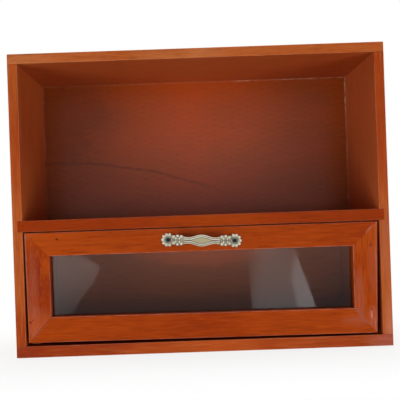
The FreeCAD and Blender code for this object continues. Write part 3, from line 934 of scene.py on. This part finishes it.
@dataclass(frozen=True)
class GlassFinish:
    """Clear flat glass that mirrors a little, and more at a slant."""

    name: str = "window_glass"
    face_on: float = 0.04
    steepness: float = 5.0
    tint: Colour = (240, 243, 240)
    mirror: Colour = (236, 236, 240)
    polish: float = 0.02
    film_size: float = 30.0
    film: Fade = Fade(0.4, 0.8, 0.05)

    def build(self) -> Material:
        """Make the material.

        Returns:
            The material.
        """
        graph = Graph.material(self.name)
        x, _, z = graph.place()
        film = graph.cloud((x, 0.0, z), self.film_size, Texture.UNEVEN)
        clear = graph.node("ShaderNodeBsdfTransparent", None, {"Color": linear(self.tint)})
        gloss = graph.node("ShaderNodeBsdfPrincipled", None, {
            "Base Color": linear(self.mirror),
            "Metallic": 1.0,
            "Roughness": self.polish + film.fade(self.film),
        })
        slant = Signal(graph, graph.node("ShaderNodeLayerWeight", None, {"Blend": 0.5}).outputs["Facing"])
        share = slant ** self.steepness * (1 - self.face_on) + self.face_on
        return graph.output(graph.mix(share, clear, gloss))


@dataclass
class Case:
    """The standing case: six boards, brads and staples."""

    nodes: dict[str, Piece]

    def finishes(self) -> dict[str, tuple[WoodFinish, dict[str, Any]]]:
        """Finish and marks of each board of the case.

        Returns:
            The finish and the details of the board, by node name.
        """
        inner = span("right_side")[0].x
        ceiling = span("top_panel")[0].z
        right_marks_and_sheen = (
            # The pink and pale streaks down the outer front edge are a painted sheen.
            Smear(146.5, 78.0, 3.0, 26.0, Stain.BLUSH, 0.5),
            Smear(147.0, 30.0, 3.0, 20.0, Stain.HONEY, 0.45),
            Smear(148.5, 14.0, 4.0, 22.0, Stain.ROSE, 0.4),
        )
        back_marks_glints_shade = (
            Bend((-124.5, 161.3), 0.022, 0.00125, 18.0),
            # The pale lines along the joints with the sides and with the ceiling are painted glints.
            JointGlint(True, inner, 1.5, 0.8, 205.0, 240.0),
            JointGlint(True, inner, 1.2, 0.5, 100.0, 205.0),
            JointGlint(True, -inner, 1.2, 0.28, 100.0, 240.0),
            JointGlint(False, ceiling, 0.9, 0.2, -142.0, 40.0),
            JointGlint(False, ceiling, 1.3, 0.55, 40.0, 142.0),
            # The two dark patches over the left part of the sheet are painted shade, for the left back
            # corner of the compartment.
            Spot(-122.0, 205.0, 44.0, 36.0, Stain.UMBER, 0.25, 0.9, 0.1),
            Spot(-132.0, 160.0, 26.0, 70.0, Stain.UMBER, 0.15, 0.9, 0.1),
        )
        return {
            "top_panel": (WoodFinish(
                "top_board", Grain.ALONG_X,
                (Stain.HONEY, Stain.AMBER, Stain.HONEY, Stain.AMBER, Stain.AMBER),
                seed=1.0, streak=0.45, wear_glint=0.4, curl=0.3, inner_light_share=0.75, inner_light_tone=Stain.BRICK,
            ), {"inner": (2, ceiling)}),
            "bottom_panel": (WoodFinish(
                "bottom_board", Grain.ALONG_X,
                (Stain.CHERRY, Stain.CHERRY, Stain.EMBER, Stain.RUSSET, Stain.CHERRY),
                seed=2.0, streak=0.4, wear_glint=0.5,
            ), {"marks": (
                Smear(144.0, 4.0, 14.0, 6.0, Stain.ROSE, 0.4),
                Smear(-143.0, 4.0, 13.0, 6.0, Stain.MULBERRY, 0.35))}),
            "left_side": (WoodFinish(
                "left_board", Grain.ALONG_Z,
                (Stain.RUSSET, Stain.AMBER, Stain.AMBER, Stain.RUSSET, Stain.AMBER),
                seed=3.0, streak=0.4, wear_glint=0.4, seamed=True, inner_light_share=0.32,
            ), {"joined": (2,), "inner": (0, -inner), "marks": (
                Smear(-147.0, 12.0, 6.0, 26.0, Stain.CHERRY, 0.6),
                Smear(-149.5, 120.0, 2.0, 60.0, Stain.HONEY, 0.4))}),
            "right_side": (WoodFinish(
                "right_board", Grain.ALONG_Z, (Stain.AMBER, Stain.AMBER, Stain.RUSSET, Stain.RUSSET),
                seed=4.0, streak=0.4, wear_glint=0.4, seamed=True, inner_light_share=0.62,
            ), {"joined": (2,), "inner": (0, inner), "marks": right_marks_and_sheen}),
            "shelf": (WoodFinish(
                "shelf_board", Grain.ALONG_X,
                (Stain.CHERRY, Stain.CHERRY, Stain.RUSSET, Stain.CHERRY, Stain.CHERRY),
                seed=5.0, streak=0.5, wear_glint=0.3, shine=0.08, glow=Stain.RUSSET,
            ), {"joined": (0,)}),
            "back_panel": (WoodFinish(
                "back_sheet", Grain.ALONG_X, (Stain.COCOA, Stain.RUSSET, Stain.COCOA), seed=6.0, streak=0.08,
                wear_glint=0.0, pore=0.15, relief=0.03, weave=Weave(), roughness=0.21, shine=0.3,
            ), {"marks": back_marks_glints_shade}),
        }

    def dress(self) -> None:
        """Give every node of the case its finish."""
        for name, (finish, details) in self.finishes().items():
            assign(self.nodes[name], finish.build(Board.of(name, **details)))
        steel = BRAD_STEEL.build()
        for name in ("case_brads", "back_staples"):
            assign(self.nodes[name], steel)


@dataclass
class DrawerFront:
    """Mitred and glazed front of the drawer."""

    nodes: dict[str, Piece]

    def corners(self) -> tuple[dict[str, Point], dict[str, Point]]:
        """Outer and inner corners of the frame, in millimetres.

        Returns:
            The corners of the outline and those of the window, by name.
        """
        top_low, top_high = span("front_top_rail")
        foot_low, foot_high = span("front_bottom_rail")
        left_low, left_high = span("front_left_stile")
        right_low, _ = span("front_right_stile")
        outer = {
            "head_left": (left_low.x, top_high.z),
            "head_right": (top_high.x, top_high.z),
            "foot_left": (foot_low.x, left_low.z),
            "foot_right": (foot_high.x, foot_low.z),
        }
        inner = {
            "head_left": (left_high.x, top_low.z),
            "head_right": (right_low.x, top_low.z),
            "foot_left": (left_high.x, foot_high.z),
            "foot_right": (right_low.x, foot_low.z + foot_high.z - left_low.z),
        }
        return outer, inner

    def member(self, node: str, first: str, second: str, marks: tuple[Spot, ...]) -> Board:
        """Edges, open mitres and marks of one member.

        Args:
            node: Name of the node.
            first: Name of the corner at one end.
            second: Name of the corner at the other end.
            marks: Other marks on its front.

        Returns:
            The board.
        """
        outer, inner = self.corners()
        open_mitres = {
            # The pale beside the joints is scuffing with a painted highlight on the rounded corners.
            "head_right": {"dark": 0.05, "pale": 0.8, "shown": (-1.0, 0.45)},
            "foot_left": {"dark": 0.8, "pale": 0.2, "shown": (0.2, 2.0)},
            "foot_right": {"dark": 0.6, "pale": 0.4, "shown": (0.4, 2.0)},
        }
        edges = (Line(outer[first], outer[second]), Line(inner[first], inner[second]))
        seen = [end for end in (first, second) if end in open_mitres]
        mitres = tuple(Mitre(outer[end], inner[end], **open_mitres[end]) for end in seen)
        return Board.of(node, edges=edges, marks=mitres + marks)

    def dress_members(self) -> None:
        """Give the four members of the frame their finishes."""
        knot = Spot(-114.9, 93.5, 1.1, 0.9, Stain.UMBER, 0.7, 0.4)
        scraped = Smear(122.0, 21.0, 12.0, 4.6, Stain.BLUSH, 0.45)
        left_marks_and_glint = (
            Smear(-131.5, 68.0, 5.0, 22.0, Stain.MULBERRY, 0.55),
            Smear(-125.0, 54.0, 4.0, 10.0, Stain.MULBERRY, 0.35),
            Smear(-135.0, 46.0, 4.0, 36.0, Stain.BLUSH, 0.5),
            Smear(-130.0, 26.0, 9.0, 12.0, Stain.BLUSH, 0.35),
            Smear(-124.5, 72.0, 3.5, 7.0, Stain.EMBER, 0.8, 0.7),
            # The pale pink marks at the top corner and along the outer edge are scuffing with a painted
            # highlight.
            Smear(-139.0, 96.5, 3.0, 3.0, Stain.ROSE, 0.35, 0.8),
            Smear(-140.2, 60.0, 1.1, 44.0, Stain.ROSE, 0.5, 0.8),
            Spot(-138.0, 28.0, 0.7, 1.0, Stain.UMBER, 0.9),
            Spot(-132.5, 22.5, 0.4, 0.5, Stain.UMBER, 0.5),
        )
        right_marks_and_sheen = (
            # The two pale pink streaks near the outer edge are scuffing with a painted sheen.
            Smear(138.8, 46.0, 1.5, 46.0, Stain.ROSE, 0.5),
            Smear(135.5, 21.0, 4.5, 10.0, Stain.ROSE, 0.5),
            Smear(124.6, 36.0, 3.6, 24.0, Stain.BLUSH, 0.55),
            Smear(135.0, 62.0, 3.0, 18.0, Stain.BLUSH, 0.35),
            Spot(133.9, 80.6, 0.8, 1.3, Stain.UMBER, 0.45),
            Spot(133.4, 25.0, 0.5, 3.4, Stain.PUTTY, 0.3),
        )
        members = (
            ("front_top_rail", ("head_left", "head_right"), Grain.ALONG_X, 0.0, (knot,),
             (Stain.EMBER, Stain.RUSSET, Stain.RUSSET, Stain.RUSSET, Stain.CHERRY)),
            ("front_bottom_rail", ("foot_left", "foot_right"), Grain.ALONG_X, 0.0, (scraped,),
             (Stain.RUSSET, Stain.RUSSET, Stain.CHERRY, Stain.RUSSET, Stain.RUSSET)),
            ("front_left_stile", ("head_left", "foot_left"), Grain.ALONG_Z, 0.8, left_marks_and_glint,
             (Stain.EMBER, Stain.CHERRY, Stain.CHERRY, Stain.RUSSET)),
            ("front_right_stile", ("head_right", "foot_right"), Grain.ALONG_Z, 0.4, right_marks_and_sheen,
             (Stain.RUSSET, Stain.RUSSET, Stain.RUSSET, Stain.EMBER)),
        )
        for seed, (name, ends, grain, curl, marks, tones) in enumerate(members, start=11):
            finish = WoodFinish(name, grain, tones, seed, streak=0.6 + curl * 0.3, wear_glint=0.8, wear_glint_width=0.9,
                                wear_glint_tone=Stain.ROSE, shine=0.08, glow=Stain.EMBER, curl=curl)
            assign(self.nodes[name], finish.build(self.member(name, *ends, marks)))

    def dress(self) -> None:
        """Give the frame, the pane and the beads their finishes."""
        self.dress_members()
        beads = ("bead_top", "bead_bottom", "bead_left", "bead_right")
        grains = (Grain.ALONG_X, Grain.ALONG_X, Grain.ALONG_Z, Grain.ALONG_Z)
        for seed, (name, grain) in enumerate(zip(beads, grains), start=21):
            finish = WoodFinish(name, grain, (Stain.CHERRY, Stain.RUSSET), seed, wear_glint=0.2)
            assign(self.nodes[name], finish.build(Board.of(name)))
        assign(self.nodes["window_pane"], GlassFinish().build())
        tones = (Stain.CHESTNUT, Stain.CHERRY)
        filled = WoodFinish("filled_brads", Grain.ALONG_Z, tones, seed=27.0, wear_glint=0.0)
        assign(self.nodes["front_brads"], filled.build(Board.of("front_brads")))


@dataclass
class DrawerBox:
    """Sides, back and bottom of the drawer behind its front."""

    nodes: dict[str, Piece]

    def dress(self) -> None:
        """Give the box its plainer finish, with a painted pool of light high on its back."""
        boards = {
            "drawer_left_side": (Grain.ALONG_Y, ()),
            "drawer_right_side": (Grain.ALONG_Y, ()),
            # The bright patch high in the middle of the back is a painted pool of light, where the low lamps
            # reach in through the pane.
            "drawer_back": (Grain.ALONG_X, (Spot(4.0, 80.0, 60.0, 17.0, Stain.CONKER, 0.9, 0.9),)),
            "drawer_bottom": (Grain.ALONG_X, ()),
        }
        for seed, (name, (grain, marks)) in enumerate(boards.items(), start=31):
            weave = Weave() if name == "drawer_bottom" else None
            finish = WoodFinish(name, grain, (Stain.AMBER, Stain.AMBER), seed, streak=0.3, roughness=0.5,
                                wear_glint=0.5, weave=weave)
            assign(self.nodes[name], finish.build(Board.of(name, marks=marks)))
        assign(self.nodes["box_brads"], replace(BRAD_STEEL, name="box_brad_steel").build())


@dataclass(frozen=True)
class Lump:
    """A rounded boss of the carving, in millimetres from the middle of the pull."""

    x: float
    z: float
    radius: float
    height: float

    def at(self, x: float, z: float) -> float:
        """Height that the boss adds at a place."""
        off = math.hypot(x - self.x, z - self.z) / self.radius
        return self.height * math.sqrt(1 - off * off) if off < 1 else 0.0


@dataclass(frozen=True)
class Ridge:
    """A rounded ridge or groove: where its middle lies, how wide it is and how strong."""

    middle: float
    width: float
    height: float = 1.0

    def at(self, value: float) -> float:
        """Height at a value."""
        return self.height * math.exp(-((value - self.middle) / self.width) ** 2)


@dataclass(frozen=True)
class Relief:
    """Height of a place on the casting, in millimetres, and how it is coloured, each from 0 to 1."""

    # Layers that colour the casting: grime in its hollows together with painted shade, polished high places
    # that also paint highlights, and the gilt panel.
    LAYERS = ("hollow_and_shade", "high", "panel")

    lift: float
    hollow_and_shade: float = 0.0
    high: float = 0.0
    panel: float = 0.0


@dataclass
class BowPull:
    """Cast bow pull: a lens panel in the middle, waists, leaves with beads, and a rosette at each end."""

    nodes: dict[str, Piece]
    pitch: float = 53.0
    tilt: float = 2.5
    root: float = 23.4
    root_rise: float = 2.4
    root_overlap: float = 0.8
    arch_fullness: float = 1.3
    half_widths: tuple[float, float, float, float] = (4.6, 2.5, 4.2, 3.2)
    waist_at: float = 10.8
    leaf_at: float = 18.6
    crown: float = 1.3
    wall: float = 1.3
    rim_start: float = 0.84
    rim_shade: Point = (0.95, 0.5)
    underside_inset: float = 0.15
    underside_drop: float = 0.7
    underside_least: float = 0.05
    underside_shade: float = 0.85
    lens_half_length: float = 7.8
    lens_half_width: float = 1.9
    lens_fullness: float = 0.8
    lens_edge: Fade = Fade(0.05, -0.1)
    lens_line: Ridge = Ridge(0.12, 0.11)
    outer_groove: Ridge = Ridge(0.62, 0.14, 0.8)
    ridges: tuple[Ridge, Ridge] = (Ridge(0.36, 0.12, 0.8), Ridge(0.86, 0.1, 0.8))
    groove_depth: float = 0.55
    leaf: Fade = Fade(12.8, 14.4)
    leaf_depth: float = 0.45
    vein_pitch: float = 1.6
    vein_slant: float = 0.9
    vein_shade: float = 0.525
    vein_contrast: float = 0.275
    bead_start: float = 16.0
    bead_spacing: float = 3.1
    bead_count: int = 3
    bead_radius: float = 1.15
    bead_height: float = 0.9
    bead_inset: float = 0.8
    bead_edge: Fade = Fade(0.1, 0.5)
    bead_bulge: float = 0.35
    seed_offset: float = 1.4
    seed_rise: float = 1.35
    seed_radius: float = 0.85
    seed_height: float = 0.5
    skin: float = 0.02
    rosette_radius: float = 4.3
    petal_radius: float = 1.35
    petals: int = 10
    foot: float = 1.8
    eye: float = 1.0
    seat_edge: Fade = Fade(3.1, 2.4)
    seat_depth: float = 0.9
    seat_shade: float = 0.5
    petal_gap: Fade = Fade(3.7, 4.6, 0.5)
    gap_depth: float = 0.6
    petal_crown: Ridge = Ridge(4.55, 0.8)
    petal_height: float = 0.65
    petal_least: float = 0.35
    ring_groove: Ridge = Ridge(3.5, 0.3, 0.45)
    inner_ring: Ridge = Ridge(3.0, 0.3, 0.3)
    fall_start: float = 0.9
    fall_depth: float = 0.55
    fall_shade: float = 0.5
    long_steps: int = 190
    cross_steps: int = 36
    rosette_rings: int = 28
    rosette_steps: int = 140

    def __post_init__(self) -> None:
        """Work out where the pull stands, how far the bow may rise and where its beads sit."""
        low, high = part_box("handle")
        centre = Vector(((low.x + high.x) / 2, high.y, (low.z + high.z) / 2))
        self.reach = (high.y - low.y) * PER_METRE
        turned = Matrix.Rotation(math.radians(self.tilt), 4, "Y")
        self.to_frame = Matrix.Translation(centre) @ turned @ Matrix.Scale(MM, 4)
        self.made = bmesh.new()
        self.beads = []
        self.seeds = []
        for side, up, step in itertools.product((-1, 1), (-1, 1), range(self.bead_count)):
            x = self.bead_start + self.bead_spacing * step
            z = self.half_width(x) - self.bead_inset
            self.beads.append(Lump(side * x, up * z, self.bead_radius, self.bead_height))
            if step < self.bead_count - 1:
                x = x + self.seed_offset
                self.seeds.append(Lump(side * x, up * self.seed_rise, self.seed_radius, self.seed_height))

    def half_width(self, x: float) -> float:
        """Half width of the bow at a distance from its middle.

        Args:
            x: Distance along the pull, in millimetres.

        Returns:
            Half width in millimetres.
        """
        middle, waist, leaf, root = self.half_widths
        marks = ((0.0, middle), (self.waist_at, waist), (self.leaf_at, leaf), (self.root, root))
        away = min(abs(x), self.root)
        for (near, wide), (far, narrow) in zip(marks, marks[1:]):
            if away <= far:
                return wide + (narrow - wide) * (1 - math.cos(math.pi * (away - near) / (far - near))) / 2
        return root

    def rise(self, x: float) -> float:
        """Height of the bow's edge line over the rail."""
        share = min(1.0, abs(x) / self.root) ** self.arch_fullness
        return self.root_rise + (self.reach - self.crown - self.root_rise) * math.cos(math.pi / 2 * share)

    def carving(self, x: float, z: float) -> Relief:
        """Relief of the bow.

        Args:
            x: Place along the pull, in millimetres.
            z: Place across it.

        Returns:
            The relief there.
        """
        away, off = abs(x), abs(z)
        round_end = max(0.0, math.cos(math.pi / 2 * min(1.0, away / self.lens_half_length)))
        lens = self.lens_half_width * round_end ** self.lens_fullness
        band = (off - lens) / (self.half_width(x) - lens)
        leaf = self.leaf.at(away)
        lift = max(lump.at(x, z) for lump in self.beads + self.seeds)
        bead = self.bead_edge.at(lift)
        vein = math.cos(math.tau * (away - self.vein_slant * off) / self.vein_pitch)
        lines = (1 - leaf) * max(self.lens_line.at(band), self.outer_groove.at(band))
        hollow_and_shade = max(lines, leaf * (self.vein_shade + self.vein_contrast * vein)) * (1 - bead)
        ridge = (1 - leaf) * max(ridge.at(band) for ridge in self.ridges)
        panel = self.lens_edge.at(band) * (away < self.lens_half_length)
        lift = lift - self.groove_depth * hollow_and_shade - self.leaf_depth * leaf
        return Relief(lift, hollow_and_shade, max(ridge, bead), panel)

    def put(self, spot: Place, relief: Relief) -> Corner:
        """Add one vertex with the layers that colour it.

        Args:
            spot: Place along, out of and across the pull, in millimetres.
            relief: Its colouring.

        Returns:
            The vertex.
        """
        along, out, across = spot
        vertex = self.made.verts.new(self.to_frame @ Vector((along, -out, across)))
        for name in Relief.LAYERS:
            vertex[self.made.verts.layers.float[name]] = getattr(relief, name)
        return vertex

    def cover(self, loops: list[list[Corner]]) -> None:
        """Join closed loops of vertices with faces and close both ends.

        Args:
            loops: The loops, each with the same number of vertices.
        """
        for near, far in zip(loops, loops[1:]):
            for number in range(len(near)):
                after = (number + 1) % len(near)
                self.made.faces.new((near[number], near[after], far[after], far[number]))
        self.made.faces.new(list(reversed(loops[0])))
        self.made.faces.new(loops[-1])

    def bow(self) -> None:
        """Add the arched bar."""
        loops = []
        end = self.root + self.root_overlap
        shares = [-1 + 2 * turn / self.cross_steps for turn in range(self.cross_steps + 1)]
        for step in range(self.long_steps + 1):
            x = -end + 2 * end * step / self.long_steps
            bulge = max([0.0] + [bead.radius - abs(x - bead.x) for bead in self.beads])
            half = self.half_width(x) + self.bead_bulge * math.sqrt(bulge)
            loop = []
            for share in shares:
                z = half * math.sin(share * math.pi / 2)
                relief = self.carving(x, z)
                edge = max(0.0, (abs(share) - self.rim_start) / (1 - self.rim_start))
                crown = self.crown * (1 - share * share)
                out = self.rise(x) + crown + (relief.lift - self.skin) * (1 - edge)
                # The rims of the bar are painted dark in the same layer, as painted shade, less where a
                # ridge or bead meets them.
                rim = max(relief.hollow_and_shade, edge * (self.rim_shade[0] - self.rim_shade[1] * relief.high))
                loop.append(self.put((x, min(out, self.reach), z), replace(relief, hollow_and_shade=rim)))
            for share in reversed(shares[::2]):
                z = (half - self.underside_inset) * math.sin(share * math.pi / 2)
                out = self.rise(x) + (self.crown - self.wall) * (1 - share * share) - self.underside_drop
                under = (x, max(out, self.underside_least), z)
                # The underside of the bar is painted dark, as painted shade.
                loop.append(self.put(under, Relief(0.0, self.underside_shade)))
            loops.append(loop)
        self.cover(loops)

    def rosette_edge(self, angle: float) -> float:
        """Radius of the scalloped outline in a direction.

        Args:
            angle: The direction, in radians.

        Returns:
            Radius in millimetres.
        """
        step = math.tau / self.petals
        off = (angle + step / 2) % step - step / 2
        cross = self.rosette_radius * math.sin(off)
        if abs(cross) < self.petal_radius:
            return self.rosette_radius * math.cos(off) + math.sqrt(self.petal_radius ** 2 - cross ** 2)
        return self.rosette_radius

    def petal_relief(self, radius: float, angle: float, share: float) -> Relief:
        """Relief of the rosette.

        Args:
            radius: Distance from its screw, in millimetres.
            angle: Direction, in radians.
            share: Distance from the eye, 1 at the scalloped edge.

        Returns:
            The relief there.
        """
        petal = 0.5 + 0.5 * math.cos(self.petals * angle)
        bowl = self.seat_edge.at(radius)
        gap = (1 - petal) ** 3 * self.petal_gap.at(radius)
        knob = (self.petal_least + (1 - self.petal_least) * petal) * self.petal_crown.at(radius)
        fall = max(0.0, (share - self.fall_start) / (1 - self.fall_start))
        lift = self.foot - self.seat_depth * bowl + self.inner_ring.at(radius)
        lift = (lift + self.petal_height * knob - self.gap_depth * gap) * (1 - fall * fall * self.fall_depth)
        hollow_and_shade = self.seat_shade * bowl + gap + self.ring_groove.at(radius)
        # The falling edge of the rosette between the petals is painted dark, as painted shade.
        hollow_and_shade = hollow_and_shade + self.fall_shade * fall * (1 - petal)
        return Relief(lift, min(1.0, hollow_and_shade), knob)

    def rosette(self, side: int) -> None:
        """Add one scalloped end plate.

        Args:
            side: -1 for the left end and 1 for the right.
        """
        middle = side * self.pitch / 2
        loops = []
        for ring in range(self.rosette_rings + 2):
            share = min(1.0, ring / self.rosette_rings)
            loop = []
            for turn in range(self.rosette_steps):
                angle = math.tau * turn / self.rosette_steps
                radius = self.eye + (self.rosette_edge(angle) - self.eye) * share
                relief = self.petal_relief(radius, angle, share)
                out = 0.0 if ring > self.rosette_rings else relief.lift
                spot = (middle + side * radius * math.cos(angle), out, radius * math.sin(angle))
                loop.append(self.put(spot, relief))
            loops.append(loop)
        self.cover(loops)

    def build(self) -> Piece:
        """Make the carved pull and dress its screws.

        Returns:
            The finished piece, on the drawer.
        """
        for name in Relief.LAYERS:
            self.made.verts.layers.float.new(name)
        self.bow()
        for side in (-1, 1):
            self.rosette(side)
        bmesh.ops.recalc_face_normals(self.made, faces=self.made.faces)
        piece = place_mesh("carved_pull", self.made)
        piece.data.shade_smooth()
        assign(piece, PULL_BRASS.build())
        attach(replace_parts(piece, "handle"), "drawer")
        ends = [self.to_frame @ Vector((side * self.pitch / 2, 0.0, 0.0)) * PER_METRE for side in (-1, 1)]
        assign(self.nodes["handle_screws"], ScrewFinish(tuple((end.x, end.z) for end in ends)).build())
        return piece


@dataclass(frozen=True)
class Lamp:
    """A soft light, in metres and watts, aimed at a height over the middle of the chest."""

    name: str
    place: Place
    aim: float
    size: Point
    power: float
    mirrored: bool = True

    def build(self) -> None:
        """Hang the light."""
        data = bpy.data.lights.new(self.name, "AREA")
        data.shape = "RECTANGLE"
        data.size, data.size_y = self.size
        data.energy = self.power
        lamp = bpy.data.objects.new(self.name, data)
        lamp.location = self.place
        lamp.rotation_mode = "QUATERNION"
        lamp.rotation_quaternion = (Vector((0.0, 0.0, self.aim)) - lamp.location).to_track_quat("-Z", "Y")
        lamp.visible_camera = False
        lamp.visible_glossy = self.mirrored
        bpy.context.scene.collection.objects.link(lamp)


@dataclass(frozen=True)
class Card:
    """A bright card whose corners and fade are given where the pane shows them, in millimetres."""

    name: str
    outline: tuple[Point, ...]
    level: float
    fade: tuple[Point, Point]
    near: float
    far: float
    paint: Place = (1.0, 0.98, 0.97)


@dataclass
class Viewpoint:
    """Camera at the place from which the chest was photographed."""

    place: Place = (-0.0116, -0.7305, 0.1085)
    lens: float = 75.6
    sensor: float = 36.0
    roll: float = 1.97
    shift: Point = (0.035, 0.04)
    clip: Point = (0.01, 50.0)

    def build(self) -> None:
        """Make the camera and use it."""
        data = bpy.data.cameras.new("camera")
        data.lens = self.lens
        data.sensor_width = self.sensor
        data.shift_x, data.shift_y = self.shift
        data.clip_start, data.clip_end = self.clip
        camera = bpy.data.objects.new("camera", data)
        turned = Matrix.Rotation(math.radians(self.roll), 4, "Y") @ Matrix.Rotation(math.pi / 2, 4, "X")
        camera.matrix_world = Matrix.Translation(self.place) @ turned
        bpy.context.scene.collection.objects.link(camera)
        bpy.context.scene.camera = camera


@dataclass
class Stage:
    """Floor, backdrop, lights and the cards that the pane mirrors."""

    eye: Vector
    floor_half: float = 4.0
    floor_drop: float = 0.0003
    floor_paper: Colour = (244, 244, 242)
    shadow_reach: float = 170.0
    shadow_share: float = 0.2
    ambient: float = 0.14
    dark_front: float = 0.25
    front_levels: tuple[Fade, Fade] = (Fade(-0.11, -0.03, 0.2), Fade(-0.16, -0.4, 0.25))
    bright_back: Fade = Fade(-0.35, 0.2)
    card_line: float = -1.6
    lamps: tuple[Lamp, ...] = (
        Lamp("low_left", (-0.92, -1.13, -0.30), 0.14, (0.7, 0.7), 9.7, mirrored=False),
        Lamp("low_right", (0.92, -1.13, -0.30), 0.14, (0.7, 0.7), 8.8, mirrored=False),
        Lamp("level_front", (0.0, -1.9, 0.08), 0.12, (1.0, 0.3), 4.3, mirrored=False),
        Lamp("overhead", (0.0, 0.1, 1.5), 0.1, (1.6, 1.6), 16.0),
        Lamp("from_left", (-1.6, 0.3, 0.6), 0.1, (1.0, 1.0), 10.0),
        Lamp("from_right", (1.6, 0.3, 0.6), 0.1, (1.0, 1.0), 10.0),
        Lamp("from_behind", (0.2, 1.8, 0.8), 0.1, (1.2, 1.2), 22.0),
    )
    cards: tuple[Card, ...] = (
        Card("card_left", ((-128.0, 90.0), (-107.0, 90.0), (-103.6, 83.0), (-81.5, 70.2), (-87.6, 57.2),
                           (-97.3, 46.2), (-105.6, 33.6), (-109.0, 26.0), (-128.0, 26.0)),
             1.3, ((-120.0, 70.0), (-98.0, 30.0)), 1.0, 0.45),
        Card("card_right", ((35.0, 90.0), (70.0, 90.0), (92.5, 26.0), (40.0, 26.0)),
             1.1, ((35.0, 60.0), (50.0, 58.0)), 0.55, 1.0),
        Card("card_band",
             ((66.8, 90.0), (71.0, 90.0), (92.5, 26.0), (76.5, 26.0), (70.3, 55.4), (67.0, 78.0)),
             2.1, ((66.0, 60.0), (76.0, 57.0)), 0.4, 1.0),
        Card("card_high", ((-90.0, 146.0), (84.0, 146.0), (84.0, 186.0), (-90.0, 186.0)),
             2.4, ((-90.0, 170.0), (20.0, 170.0)), 0.7, 1.0, (1.0, 1.0, 0.9)),
    )

    def floor(self) -> None:
        """Lay a plain pale floor that keeps the shadow of the chest."""
        made = bmesh.new()
        bmesh.ops.create_grid(made, x_segments=1, y_segments=1, size=self.floor_half)
        piece = place_mesh("floor", made)
        piece.location.z = -self.floor_drop
        piece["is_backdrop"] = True
        graph = Graph.material("floor_paper")
        x, y, _ = graph.place()
        corner = span("bottom_panel")[1]
        aside = (abs(x) - corner.x).most(0.0)
        ahead = (abs(y) - corner.y).most(0.0)
        away = (aside * aside + ahead * ahead) ** 0.5
        matte = graph.node("ShaderNodeBsdfDiffuse", None, {"Color": linear(self.floor_paper)})
        glow = graph.node("ShaderNodeEmission", None, {"Color": WHITE, "Strength": 1.0})
        share = away.rise(self.shadow_reach, 0.0) * self.shadow_share
        assign(piece, graph.output(graph.mix(share, glow, matte)))
        hide_from(piece, "shadow", "diffuse", "glossy")

    def backdrop(self) -> None:
        """Surround the chest with a white room that is dim in front, where the pane looks."""
        world = bpy.data.worlds.new("white_room")
        bpy.context.scene.world = world
        graph = Graph(world)
        rays = graph.node("ShaderNodeLightPath").outputs
        seen = Signal(graph, rays["Is Camera Ray"]).most(Signal(graph, rays["Is Transmission Ray"]))
        mirrored = Signal(graph, rays["Is Glossy Ray"])
        way = graph.node("ShaderNodeTexCoord").outputs["Generated"]
        towards = graph.node("ShaderNodeSeparateXYZ", None, {0: way}).outputs
        behind = Signal(graph, towards[1]).fade(self.bright_back)
        height = Signal(graph, towards[2])
        over, under = (height.fade(level) for level in self.front_levels)
        mirror_level = behind + (1 - behind) * (over + under + self.dark_front)
        level = (1 - seen) * (1 - mirrored) * self.ambient + (1 - seen) * mirrored * mirror_level + seen
        shade = graph.node("ShaderNodeBackground", None, {"Color": WHITE, "Strength": level})
        graph.node("ShaderNodeOutputWorld", None, {"Surface": shade.outputs[0]})

    def mirrored(self, x: float, z: float) -> Vector:
        """Place of a card's corner that the pane mirrors to the viewer.

        Args:
            x: Where the corner shows on the pane, in millimetres.
            z: The same, upwards.

        Returns:
            The corner in metres.
        """
        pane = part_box("window_pane")[0].y
        seen = Vector((x * MM, pane, z * MM))
        off = (seen - self.eye) * ((pane - self.card_line) / (pane - self.eye.y))
        return Vector((seen.x + off.x, self.card_line, seen.z + off.z))

    def card(self, card: Card) -> None:
        """Stand up one bright card, seen only by glossy surfaces.

        Args:
            card: The card.
        """
        made = bmesh.new()
        made.faces.new([made.verts.new(self.mirrored(*corner)) for corner in card.outline])
        piece = place_mesh(card.name, made)
        piece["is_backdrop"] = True
        graph = Graph.material(card.name + "_paper")
        x, _, z = graph.place()
        start, end = (self.mirrored(*spot) * PER_METRE for spot in card.fade)
        share = Line((start.x, start.z), (end.x, end.z)).along(x, z).rise(0.0, 1.0)
        near, far = ((*(part * level for part in card.paint), 1.0) for level in (card.near, card.far))
        inputs = {"Color": graph.blend(share, near, far), "Strength": card.level}
        assign(piece, graph.output(graph.node("ShaderNodeEmission", None, inputs)))
        hide_from(piece, "camera", "diffuse", "shadow", "transmission")

    def build(self) -> None:
        """Set the whole stage."""
        self.floor()
        self.backdrop()
        for lamp in self.lamps:
            lamp.build()
        for card in self.cards:
            self.card(card)


def main() -> None:
    """Build the classes in order and report each piece."""
    logging.basicConfig(level=logging.INFO, format="%(name)s: %(message)s")
    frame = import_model()
    bpy.context.scene.view_settings.view_transform = "Standard"
    nodes = frame["nodes"]
    viewpoint = Viewpoint()
    viewpoint.build()
    for assembly in (Case(nodes), DrawerFront(nodes), DrawerBox(nodes)):
        assembly.dress()
    BowPull(nodes).build()
    Stage(Vector(viewpoint.place)).build()
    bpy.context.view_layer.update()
    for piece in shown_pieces():
        LOG.info("%s on %s", piece.name, ", ".join(body_of(piece) or []))


if __name__ == "__main__":
    main()
